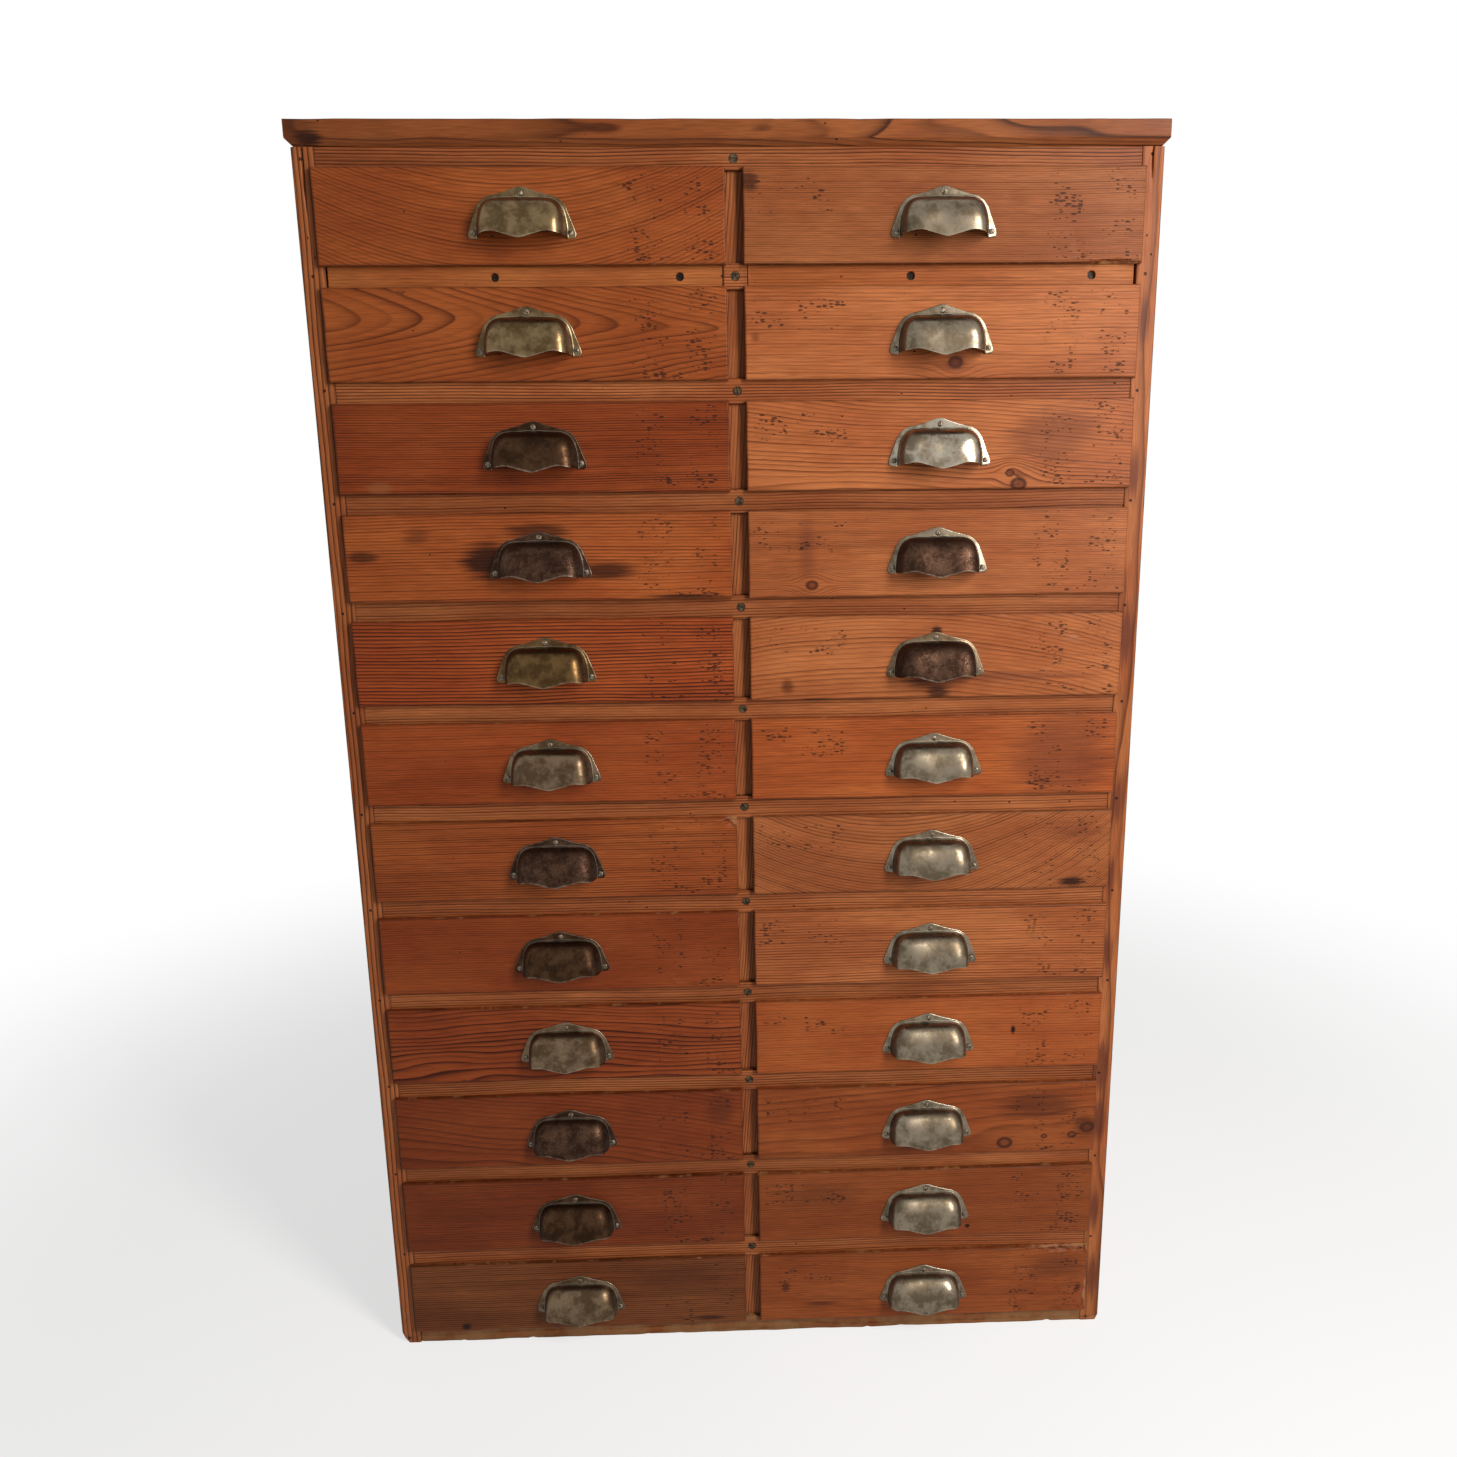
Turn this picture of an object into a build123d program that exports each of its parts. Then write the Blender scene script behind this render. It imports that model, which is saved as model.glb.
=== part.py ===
from build123d import *
import os

# A floor-standing pine cabinet for seed packets: two columns of twelve lipped drawers, each with
# a cup pull, in a carcass of two sides, a centre partition, a top board and a base board.
# Millimetres. X runs to the viewer's right, Y from the front to the back and Z up.
# The origin is on the floor, midway between the sides and midway between their front and rear edges.

# Carcass
rows = 12
cabinet_width = 820.0           # across the outer faces of the sides
cabinet_depth = 360.0           # front edges to rear edges of the sides
side_thickness = 21.0
partition_thickness = 20.0
opening_height = 81.8           # clear height of one drawer opening
rail_height = 24.0
rail_depth = 22.0
top_rail_height = 20.5
base_thickness = 20.5           # base board, whose front edge is the lowest rail
top_thickness = 23.0
top_overhang = 4.0              # past the front and both ends
top_chamfer = 6.5               # under the front edge and both ends, and in past the frame's faces
muntin_recess = 4.0             # upright strips stand this far behind the rails' faces
runner_width = 20.0
back_thickness = 12.0
back_rabbet = 11.0              # how far the back is let into each side
back_board_count = 5
back_board_gap = 0.6

# The rail under the first row: its face is cut back each side of the middle for two new strips
repair_depth = 12.5
repair_setback = 1.5            # the new strips' faces lie behind the other rails' faces
repair_end_gap = 2.0
repair_screw_shares = (0.42, 0.89)      # its two screws, as shares of a strip's length from the left
repair_screw_sink = 3.0

# Drawers
front_thickness = 20.0
lip_thickness = 5.7             # the part of the front that stands over the frame
lip_gap = 0.3                   # between the lip and the frame
lip_over_side = 3.5
lip_over_partition = 1.75
lip_over_rail = 2.5
lip_round = 2.0                 # rounded front edges
drawer_rear_clearance = 14.0    # rear ends of the drawer sides to the back boards
drawer_side_thickness = 9.0
drawer_back_thickness = 9.0
drawer_back_drop = 6.0          # the back is this much lower than the sides
drawer_side_clearance = 0.8
drawer_floor_clearance = 0.3
drawer_head_clearance = 1.7
bottom_thickness = 6.0
bottom_rise = 5.0               # lower edge of the sides to the bottom panel
groove_depth = 4.0
groove_slack = 0.2
tail_count = 3
tail_length = 9.0
tail_share = 0.5                # root width of a dovetail over their spacing
tail_flare = 2.0                # widening on each flank over the tail's length
drawer_hold = 74.0              # length of a fully opened drawer that stays in the carcass

# The broken lip of the lowest right-hand drawer
broken_lip_length = 68.0
broken_lip_drop = 6.0

# Cup pulls
pull_rise = 20.2                # opening's floor to the feet of the pull
cup_width = 84.0
cup_height = 36.3
foot_reach = 9.0                # how far the plate's feet stand out past the cup, each side
peak_rise = 10.0                # cup to the plate's peak
flange_thickness = 1.2
cup_projection = 23.0
cup_corner = 17.0               # corners of the cup's outline
cup_round = 15.0                # rounding of its front
cup_wall = 1.2
rim_end = 1.0                   # height of the lower rim above the feet, at the cup's ends
rim_arch = 3.2                  # where the rim arches
rim_point = -2.6                # at the middle, where it dips to a point
foot_radius = 4.2
# Points on the plate's outline, as shares of half its width and of its height: each shoulder falls
# from the peak in a hollow sweep, then rounds over the brow and drops past the cheek to the foot.
plate_hollow = (0.29, 0.905)
plate_brow = (0.62, 0.815)
plate_cheek = (0.83, 0.60)

# Screws
rail_screw = dict(head=8.4, head_depth=3.2, shank=4.2, length=44.0, slot=1.1, slot_depth=1.0)
repair_screw = dict(head=7.6, head_depth=3.0, shank=3.8, length=15.0, slot=1.0, slot_depth=1.0)
pull_screw = dict(head=5.8, dome=1.5, shank=2.8, length=13.0, slot=0.8, slot_depth=0.7)
foot_screw_out = 3.5            # the feet's screws, outward from the cup's sides
foot_screw_rise = 5.6           # their height above the feet
peak_screw_rise = 4.2           # cup to the screw under the peak
pull_screw_shoulder = 0.72      # where the round head's outline turns over, as a share of its size
screw_clearance = 0.05          # round every screw in its hole
rail_screw_turn = 37.0          # degrees by which each slot is turned further than the last
repair_screw_turn = 51.0
pull_screw_turn = 40.0

# Places worked out from the sizes above
row_pitch = opening_height + rail_height
side_height = base_thickness + rows * row_pitch - rail_height + top_rail_height
face = -cabinet_depth / 2                       # plane of the frame's front
rear = cabinet_depth / 2
rail_back = face + rail_depth
back_face = rear - back_thickness
inner_right = cabinet_width / 2 - side_thickness
inner_left = -inner_right
partition_left = -partition_thickness / 2
partition_right = partition_thickness / 2
opening_width = partition_left - inner_left
lip_back = face - lip_gap
front_face = lip_back - lip_thickness
top_rail_z = side_height - top_rail_height
drawer_end = back_face - drawer_rear_clearance
drawer_travel = drawer_end - face - drawer_hold
columns = {"left": inner_left, "right": partition_right}
pull_width = cup_width + 2 * foot_reach
pull_height = cup_height + peak_rise


def block(x, y, z):
    """A box from three (low, high) pairs."""
    size = [high - low for low, high in (x, y, z)]
    return Pos(x[0], y[0], z[0]) * Box(*size, align=(Align.MIN, Align.MIN, Align.MIN))


def opening_z(row):
    """Floor of a row's openings; row 1 is the highest."""
    return base_thickness + (rows - row) * row_pitch


def rail_z(index):
    """Underside of rail 0 under the top board, or of the rail under a row."""
    return top_rail_z if index == 0 else opening_z(index) - rail_height


def rail_tall(index):
    return top_rail_height if index == 0 else rail_height


def rail_middle(index):
    return rail_z(index) + rail_tall(index) / 2


def along_y(solid):
    """Turn a solid built up +Z so that its +Z points to the back."""
    return Rot(-90, 0, 0) * solid


def sunk_screw(size, clearance=0.0, turn=0.0):
    """A slotted countersunk screw with its face at the origin, or with a clearance its hole."""
    head_r = size["head"] / 2 + clearance
    shank_r = size["shank"] / 2 + clearance
    length = size["length"] + clearance
    head = Cone(head_r, shank_r, size["head_depth"], align=(Align.CENTER, Align.CENTER, Align.MIN))
    shank = Cylinder(shank_r, length, align=(Align.CENTER, Align.CENTER, Align.MIN))
    screw = head + shank
    if clearance == 0.0:
        slot = Box(size["head"] * 2, size["slot"], size["slot_depth"] * 2)
        screw -= Rot(0, 0, turn) * slot
    return along_y(screw)


def repair_stretches():
    """The low and high X of the two new strips' seats in the first rail."""
    return [(inner_left, partition_left), (partition_right, inner_right)]


def repair_screw_places():
    middle = rail_middle(1)
    for low, high in repair_stretches():
        for share in repair_screw_shares:
            x = low + repair_end_gap + share * (high - low - 2 * repair_end_gap)
            yield x, face + repair_setback + repair_screw_sink, middle


def make_rails():
    """The top rail and the rail under each row but the last, with their screw holes."""
    rails = []
    hole = sunk_screw(rail_screw, screw_clearance)
    for index in range(rows):
        z = rail_z(index)
        rail = block((inner_left, inner_right), (face, rail_back), (z, z + rail_tall(index)))
        if index == 1:
            seat_back = face + repair_setback + repair_depth
            for stretch in repair_stretches():
                rail -= block(stretch, (face - 1, seat_back), (z - 1, z + rail_tall(index) + 1))
            small_hole = sunk_screw(repair_screw, screw_clearance)
            for place in repair_screw_places():
                rail -= Pos(*place) * small_hole
        rail -= Pos(0, face, rail_middle(index)) * hole
        rails.append(rail)
    return rails


def make_repair_strips():
    """Two newer strips seated in the cut-back face of the first rail."""
    strips = []
    front = face + repair_setback
    z = rail_z(1)
    hole = sunk_screw(repair_screw, screw_clearance)
    bore_radius = repair_screw["head"] / 2 + screw_clearance
    bore = along_y(Cylinder(bore_radius, 2 * repair_screw_sink))
    for low, high in repair_stretches():
        strip = block((low + repair_end_gap, high - repair_end_gap),
                      (front, front + repair_depth), (z, z + rail_height))
        for x, y, middle in repair_screw_places():
            if low < x < high:
                strip -= Pos(x, y, middle) * hole
                strip -= Pos(x, front, middle) * bore
        strips.append(strip)
    return strips


def make_rail_screws():
    screws = []
    for index in range(rows):
        turn = rail_screw_turn * index
        screws.append(Pos(0, face, rail_middle(index)) * sunk_screw(rail_screw, turn=turn))
    for number, place in enumerate(repair_screw_places()):
        screws.append(Pos(*place) * sunk_screw(repair_screw, turn=repair_screw_turn * number))
    return screws


def make_side(sign):
    """One side, with the rabbet for the back boards."""
    outer = sign * cabinet_width / 2
    inner = outer - sign * side_thickness
    step = inner + sign * back_rabbet
    side = block(sorted((outer, inner)), (face, rear), (0, side_height))
    side -= block(sorted((inner - sign, step)), (back_face, rear + 1), (-1, side_height + 1))
    return side


def make_partition():
    """The upright board behind the rails, with a pilot hole for each rail's screw."""
    partition = block((partition_left, partition_right), (rail_back, back_face),
                      (base_thickness, side_height))
    hole = sunk_screw(rail_screw, screw_clearance)
    for index in range(rows):
        partition -= Pos(0, face, rail_middle(index)) * hole
    return partition


def make_muntins():
    """A short strip between each two rails, in front of the partition."""
    front = face + muntin_recess
    return [block((partition_left, partition_right), (front, rail_back),
                  (opening_z(row), opening_z(row) + opening_height))
            for row in range(1, rows + 1)]


def runner_spans():
    """The low and high X of the four lines of runners."""
    return [(inner_left, inner_left + runner_width),
            (partition_left - runner_width, partition_left),
            (partition_right, partition_right + runner_width),
            (inner_right - runner_width, inner_right)]


def make_runners():
    """Runners level with the rail under each row but the last, which runs on the base board."""
    return [block(span, (rail_back, back_face), (rail_z(row), rail_z(row) + rail_height))
            for row in range(1, rows) for span in runner_spans()]


def make_top_battens():
    return [block(span, (rail_back, back_face), (top_rail_z, side_height))
            for span in runner_spans()]


def make_base():
    return block((inner_left, inner_right), (face, back_face), (0, base_thickness))


def make_back_boards():
    """Upright boards let into the sides' rabbets."""
    low = inner_left - back_rabbet
    pitch = (-2 * low + back_board_gap) / back_board_count
    return [block((low + n * pitch, low + (n + 1) * pitch - back_board_gap),
                  (back_face, rear), (0, side_height))
            for n in range(back_board_count)]


def make_top():
    """The top board, chamfered under its front edge and its two ends."""
    half = cabinet_width / 2 + top_overhang
    board = block((-half, half), (face - top_overhang, rear), (side_height, side_height + top_thickness))
    under = board.faces().sort_by(Axis.Z)[0].edges()
    ends = under.sort_by(Axis.Y)[:-1]
    return chamfer(ends, top_chamfer)


def pull_screw_places():
    """X and height above the feet of a pull's three screws."""
    half = cup_width / 2 + foot_screw_out
    return [(-half, foot_screw_rise), (0.0, cup_height + peak_screw_rise), (half, foot_screw_rise)]


def box_low():
    return drawer_floor_clearance


def box_high():
    return opening_height - drawer_head_clearance


def tail_prism(index, low_x, high_x):
    """One dovetail of a drawer side, reaching forward into the front."""
    root = front_face + front_thickness
    tip = root - tail_length
    spacing = (box_high() - box_low()) / tail_count
    middle = box_low() + (index + 0.5) * spacing
    narrow = spacing * tail_share / 2
    wide = narrow + tail_flare
    outline = Polyline((root, middle - narrow), (root, middle + narrow),
                       (tip, middle + wide), (tip, middle - wide), close=True)
    return extrude(Plane.YZ.offset(low_x) * make_face(outline), high_x - low_x)


def drawer_spans(column):
    """Inner faces of the opening, then outer faces of the drawer box, low X first."""
    low = columns[column]
    high = low + opening_width
    return low, high, low + drawer_side_clearance, high - drawer_side_clearance


def make_front(column, row, tails):
    """A lipped drawer front: one board rabbeted all round, with its sockets, groove and holes."""
    low, high, box_left, box_right = drawer_spans(column)
    over_left, over_right = lip_over_side, lip_over_partition
    if column == "right":
        over_left, over_right = over_right, over_left
    board_back = front_face + front_thickness
    lip_top = opening_height + lip_over_rail
    lip = block((low - over_left, high + over_right), (front_face, lip_back),
                (-lip_over_rail, lip_top))
    lip = fillet(lip.faces().sort_by(Axis.Y)[0].edges(), lip_round)
    front = lip + block((box_left, box_right), (lip_back, board_back), (box_low(), box_high()))
    for tail in tails:
        front -= tail
    groove_z = box_low() + bottom_rise
    groove_left = box_left + drawer_side_thickness - groove_depth
    groove_right = box_right - drawer_side_thickness + groove_depth
    front -= block((groove_left, groove_right), (board_back - groove_depth, board_back + 1),
                   (groove_z, groove_z + bottom_thickness + groove_slack))
    hole_radius = pull_screw["shank"] / 2 + screw_clearance
    hole_depth = pull_screw["length"] + screw_clearance
    hole = along_y(Cylinder(hole_radius, 2 * hole_depth))
    for x, rise in pull_screw_places():
        front -= Pos((low + high) / 2 + x, front_face, pull_rise + rise) * hole
    if column == "right" and row == rows:
        end = high + over_right
        wedge = Polyline((end + 1, lip_top + 1), (end - broken_lip_length, lip_top + 1),
                         (end - broken_lip_length, lip_top), (end + 1, lip_top - broken_lip_drop),
                         close=True)
        front -= extrude(Plane.XZ.offset(-lip_back) * make_face(wedge), lip_thickness + 1)
    return front


def make_drawer(column, row):
    """A drawer of five boards, with Z measured from the floor of its opening."""
    low, high, box_left, box_right = drawer_spans(column)
    board_back = front_face + front_thickness
    groove_z = box_low() + bottom_rise
    panel_top = groove_z + bottom_thickness
    inner_faces = box_left + drawer_side_thickness, box_right - drawer_side_thickness
    groove_left = inner_faces[0] - groove_depth
    groove_right = inner_faces[1] + groove_depth
    sides = []
    tails = []
    for outer, inner in ((box_left, inner_faces[0]), (box_right, inner_faces[1])):
        side = block(sorted((outer, inner)), (board_back, drawer_end), (box_low(), box_high()))
        for index in range(tail_count):
            tail = tail_prism(index, *sorted((outer, inner)))
            tails.append(tail)
            side += tail
        side -= block((groove_left, groove_right), (board_back - tail_length - 1, drawer_end + 1),
                      (groove_z, panel_top + groove_slack))
        sides.append(side)
    front = make_front(column, row, tails)
    bottom = block((groove_left + groove_slack, groove_right - groove_slack),
                   (board_back - groove_depth + groove_slack, drawer_end), (groove_z, panel_top))
    back = block(inner_faces, (drawer_end - drawer_back_thickness, drawer_end),
                 (panel_top, box_high() - drawer_back_drop))
    return [front, *sides, back, bottom]


def cup_block(inset):
    """The cup's rounded form, drawn in by inset, with Z measured from the pull's feet."""
    skirt = pull_height / 4             # runs on below the rim, where it is cut away
    outline = Pos(0, (cup_height - inset - skirt) / 2) * Rectangle(cup_width - 2 * inset,
                                                                   cup_height - inset + skirt)
    outline = fillet(outline.vertices().group_by(Axis.Y)[-1], cup_corner - inset)
    form = extrude(Plane.XZ * outline, cup_projection - inset)
    front_edges = form.faces().sort_by(Axis.Y)[0].edges().sort_by(Axis.Z)[1:]
    return fillet(front_edges, cup_round - inset)


def flange_outline():
    """The flat plate's outline: a low peak, sloping shoulders and two rounded feet."""
    half = pull_width / 2
    foot = (half, foot_radius)
    left_foot = (-half, foot_radius)
    hollow, brow, cheek = [(across * half, up * pull_height)
                           for across, up in (plate_hollow, plate_brow, plate_cheek)]
    right = Spline((0, pull_height), hollow, brow, cheek, foot)
    left = Spline(left_foot, *[(-x, y) for x, y in (cheek, brow, hollow)], (0, pull_height))
    bend = foot_radius * (1 - 0.5 ** 0.5)
    right_toe = ThreePointArc(foot, (half - bend, bend), (half - foot_radius, 0))
    left_toe = ThreePointArc((foot_radius - half, 0), (bend - half, bend), left_foot)
    sole = Line((half - foot_radius, 0), (foot_radius - half, 0))
    return make_face([right, right_toe, sole, left_toe, left])


def make_pull_shell():
    """Flange and cup in one casting: its back lies on Y = 0, and it stands out towards -Y."""
    hollow = cup_block(cup_wall)
    flange = extrude(Plane.XZ * flange_outline(), flange_thickness)
    half = cup_width / 2
    rim = Spline((-half - 1, rim_end), (-0.6 * half, rim_arch), (0, rim_point),
                 (0.6 * half, rim_arch), (half + 1, rim_end))
    low = -pull_height
    skirt = Polyline((half + 1, rim_end), (half + 1, low), (-half - 1, low), (-half - 1, rim_end))
    under = extrude(Plane.XZ.offset(-1) * make_face([rim, skirt]), cup_projection + 2)
    cup = cup_block(0) - under
    # The hollow starts behind the plate, so that the back is open.
    tunnel = hollow.faces().sort_by(Axis.Y)[-1]
    hollow += extrude(tunnel, 1, dir=(0, 1, 0))
    shell = flange + cup - hollow
    hole = along_y(Cylinder(pull_screw["shank"] / 2 + screw_clearance, 4 * flange_thickness))
    for x, rise in pull_screw_places():
        shell -= Pos(x, 0, rise) * hole
    return shell


def make_pull_screw(turn):
    """A slotted round-head screw whose head bears on Y = 0."""
    radius = pull_screw["head"] / 2
    dome = pull_screw["dome"]
    turning = (pull_screw_shoulder * radius, pull_screw_shoulder * dome)
    shoulder = ThreePointArc((radius, 0), turning, (0, dome))
    profile = make_face([shoulder, Line((0, dome), (0, 0)), Line((0, 0), (radius, 0))])
    head = revolve(Plane.XZ * profile, Axis.Z)
    shank_length = pull_screw["length"] + flange_thickness
    shank = Cylinder(pull_screw["shank"] / 2, shank_length, align=(Align.CENTER, Align.CENTER, Align.MAX))
    slot = Pos(0, 0, dome) * Box(pull_screw["head"] * 2, pull_screw["slot"], pull_screw["slot_depth"] * 2)
    screw = head + shank - Rot(0, 0, turn) * slot
    return Rot(90, 0, 0) * screw


def make_pull(turn=0.0):
    """The shell and its three screws, with the feet at Z = 0 and the back at Y = 0."""
    pieces = [make_pull_shell()]
    for number, (x, rise) in enumerate(pull_screw_places()):
        seat = Pos(x, -flange_thickness, rise)
        pieces.append(seat * make_pull_screw(turn + pull_screw_turn * number))
    return pieces


def save(name, solids):
    export_step(Compound(children=[Solid(part.solid().wrapped) for part in solids]),
                f"parts/{name}.step")
    volume = sum(part.volume for part in solids)
    print(f"{name}: {len(solids)} solids, {volume / 1000:.1f} cm3")


def main():
    os.makedirs("parts", exist_ok=True)
    save("top_board", [make_top()])
    save("side_left", [make_side(-1)])
    save("side_right", [make_side(1)])
    save("centre_partition", [make_partition()])
    save("front_rails", make_rails())
    save("repair_strips", make_repair_strips())
    save("rail_screws", make_rail_screws())
    save("muntin_strips", make_muntins())
    save("drawer_runners", make_runners())
    save("top_battens", make_top_battens())
    save("base_board", [make_base()])
    save("back_boards", make_back_boards())
    pull = make_pull()
    for column, low in columns.items():
        plain = make_drawer(column, 0)
        middle = low + opening_width / 2
        for row in range(1, rows + 1):
            damaged = column == "right" and row == rows
            drawer = make_drawer(column, row) if damaged else plain
            lift = Pos(0, 0, opening_z(row))
            save(f"drawer_{column}_{row:02d}", [lift * board for board in drawer])
            seat = Pos(middle, front_face, opening_z(row) + pull_rise)
            save(f"pull_{column}_{row:02d}", [seat * piece for piece in pull])
    print(f"carcass {cabinet_width} x {cabinet_depth} x {side_height + top_thickness:.1f} mm")
    print(f"drawer box {opening_width - 2 * drawer_side_clearance:.1f} mm wide, "
          f"{box_high() - box_low():.1f} mm high, travel {drawer_travel:.0f} mm")
    print(f"length of drawer still in the carcass when open: {drawer_hold:.0f} mm")


main()
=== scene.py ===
import math

import bmesh
import bpy
import numpy as np
from mathutils import Matrix, Vector


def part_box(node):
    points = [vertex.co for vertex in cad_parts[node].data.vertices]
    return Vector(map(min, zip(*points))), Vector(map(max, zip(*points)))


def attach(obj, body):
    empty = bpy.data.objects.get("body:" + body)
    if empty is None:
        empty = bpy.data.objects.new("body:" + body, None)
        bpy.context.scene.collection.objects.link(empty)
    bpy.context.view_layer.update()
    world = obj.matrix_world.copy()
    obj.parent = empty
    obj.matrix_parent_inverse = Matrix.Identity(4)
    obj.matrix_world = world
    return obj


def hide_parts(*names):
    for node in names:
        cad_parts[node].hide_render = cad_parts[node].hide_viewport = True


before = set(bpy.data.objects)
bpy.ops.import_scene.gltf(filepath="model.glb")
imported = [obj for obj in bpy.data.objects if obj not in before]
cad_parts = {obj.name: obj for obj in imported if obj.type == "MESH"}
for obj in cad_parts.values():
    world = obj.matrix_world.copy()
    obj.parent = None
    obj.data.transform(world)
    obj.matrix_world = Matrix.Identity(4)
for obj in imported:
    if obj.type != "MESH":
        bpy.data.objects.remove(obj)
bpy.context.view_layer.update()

mm = 0.001
print("frame loaded")


def colour(red, green, blue):
    # From 0..255, as a picture shows it, to the linear values that shaders take
    def linear(v):
        v = v / 255
        return v / 12.92 if v <= 0.04045 else ((v + 0.055) / 1.055) ** 2.4
    return (linear(red), linear(green), linear(blue), 1.0)


def waves(place, seed, length, count=7):
    # Smooth unevenness between about -1 and 1: the mean of sine waves with random directions and
    # phases and lengths near `length`. The last axis of `place` holds one to three coordinates.
    place = np.asarray(place, float)
    rng = np.random.default_rng(seed)
    turns = rng.normal(size=(count, place.shape[-1]))
    turns /= np.linalg.norm(turns, axis=1, keepdims=True)
    turns *= 2 * math.pi / (length * rng.uniform(0.6, 1.6, (count, 1)))
    return np.sin(place @ turns.T + rng.uniform(0, 2 * math.pi, count)).mean(-1) * 1.8


def samples(low, high, step, margin=7.0, around=()):
    # Places from low to high, closest together at both ends and round the places in `around`
    near = np.array([0.0, 0.3, 0.7, 1.2, 1.8, 2.6, 3.6, 5.0, 7.0]) * (margin / 7.0) * mm
    middle = np.linspace(low + near[-1], high - near[-1], max(2, int((high - low) / step)))
    extra = [place + np.linspace(-5.5, 5.5, 23) * mm for place in around]
    places = np.unique(np.concatenate([low + near[:-1], middle, high - near[:-1], *extra]))
    return places[np.append(True, np.diff(places) > 0.04 * mm)]


class Shape:
    # Gathers grids and faces with slot, edge value (wear, grime, painted shade), board number; then becomes
    # one mesh
    def __init__(self):
        self.points, self.faces, self.slots, self.edges, self.boards = [], [], [], [], []
        self.count, self.board = 0, 0.0

    def add(self, points, faces, slot=0, edge=0.0):
        points = np.asarray(points, float).reshape(-1, 3)
        self.points.append(points)
        self.edges.append(np.asarray(edge, float).ravel() + np.zeros(len(points)))
        self.boards.append(np.full(len(points), self.board))
        self.faces.append(np.asarray(faces) + self.count)
        self.slots.append(np.full(len(faces), slot))
        self.count += len(points)

    def grid(self, points, slot=0, edge=0.0):
        # Quads between each four neighbours of a rows x columns array of points
        rows, columns = points.shape[:2]
        corner = np.arange(rows - 1)[:, None] * columns + np.arange(columns - 1)
        quads = np.stack([corner, corner + 1, corner + columns + 1, corner + columns], -1)
        self.add(points, quads.reshape(-1, 4), slot, edge)

    def cap(self, outline, slot=0, edge=0.0):
        self.add(outline, np.arange(len(outline))[None], slot, edge)

    def build(self, name, materials, weld=0.01, sharp=35.0, outward=True):
        mesh = bpy.data.meshes.new(name)
        faces = [face for block in self.faces for face in block.tolist()]
        mesh.from_pydata(np.concatenate(self.points).tolist(), [], faces)
        for key, values in (("edge", self.edges), ("board", self.boards)):
            layer = mesh.attributes.new(key, "FLOAT", "POINT")
            layer.data.foreach_set("value", np.concatenate(values).astype(np.float32))
        mesh.polygons.foreach_set("material_index", np.concatenate(self.slots).astype(np.int32))
        for material in materials:
            mesh.materials.append(material)
        work = bmesh.new()
        work.from_mesh(mesh)
        bmesh.ops.remove_doubles(work, verts=work.verts, dist=weld * mm)
        if outward:
            bmesh.ops.recalc_face_normals(work, faces=work.faces)
        work.to_mesh(mesh)
        work.free()
        mesh.shade_smooth()
        mesh.set_sharp_from_angle(angle=math.radians(sharp))
        piece = bpy.data.objects.new(name, mesh)
        bpy.context.scene.collection.objects.link(piece)
        return piece


def fit(piece, node, body):
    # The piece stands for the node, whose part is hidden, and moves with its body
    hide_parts(node)
    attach(piece, body)
    return piece


class Value:
    # A number socket in Python sums: each operator adds one Math node
    def __init__(self, paint, socket):
        self.paint, self.socket = paint, socket

    def math(self, operation, *others):
        inputs = dict(enumerate((self, *others)))
        return self.paint.node("ShaderNodeMath", {"operation": operation}, inputs).out(0)

    def __add__(self, other): return self.math("ADD", other)
    def __sub__(self, other): return self.math("SUBTRACT", other)
    def __mul__(self, other): return self.math("MULTIPLY", other)
    def __truediv__(self, other): return self.math("DIVIDE", other)
    def __pow__(self, other): return self.math("POWER", other)
    def __rsub__(self, other): return (self * -1.0) + other
    __radd__, __rmul__ = __add__, __mul__

    def clamp(self):
        return self.paint.node("ShaderNodeClamp", {}, {0: self}).out(0)

    def ramp(self, low, high):
        # 0 at low, 1 at high and smooth between; low may be the larger
        return self.paint.node("ShaderNodeMapRange", {"interpolation_type": "SMOOTHSTEP"},
                               {0: self, 1: low, 2: high, 3: 0.0, 4: 1.0}).out(0)


class Made:
    # A node that was just made
    def __init__(self, paint, made):
        self.paint, self.made = paint, made

    def out(self, key):
        return Value(self.paint, self.made.outputs[key])


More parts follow.
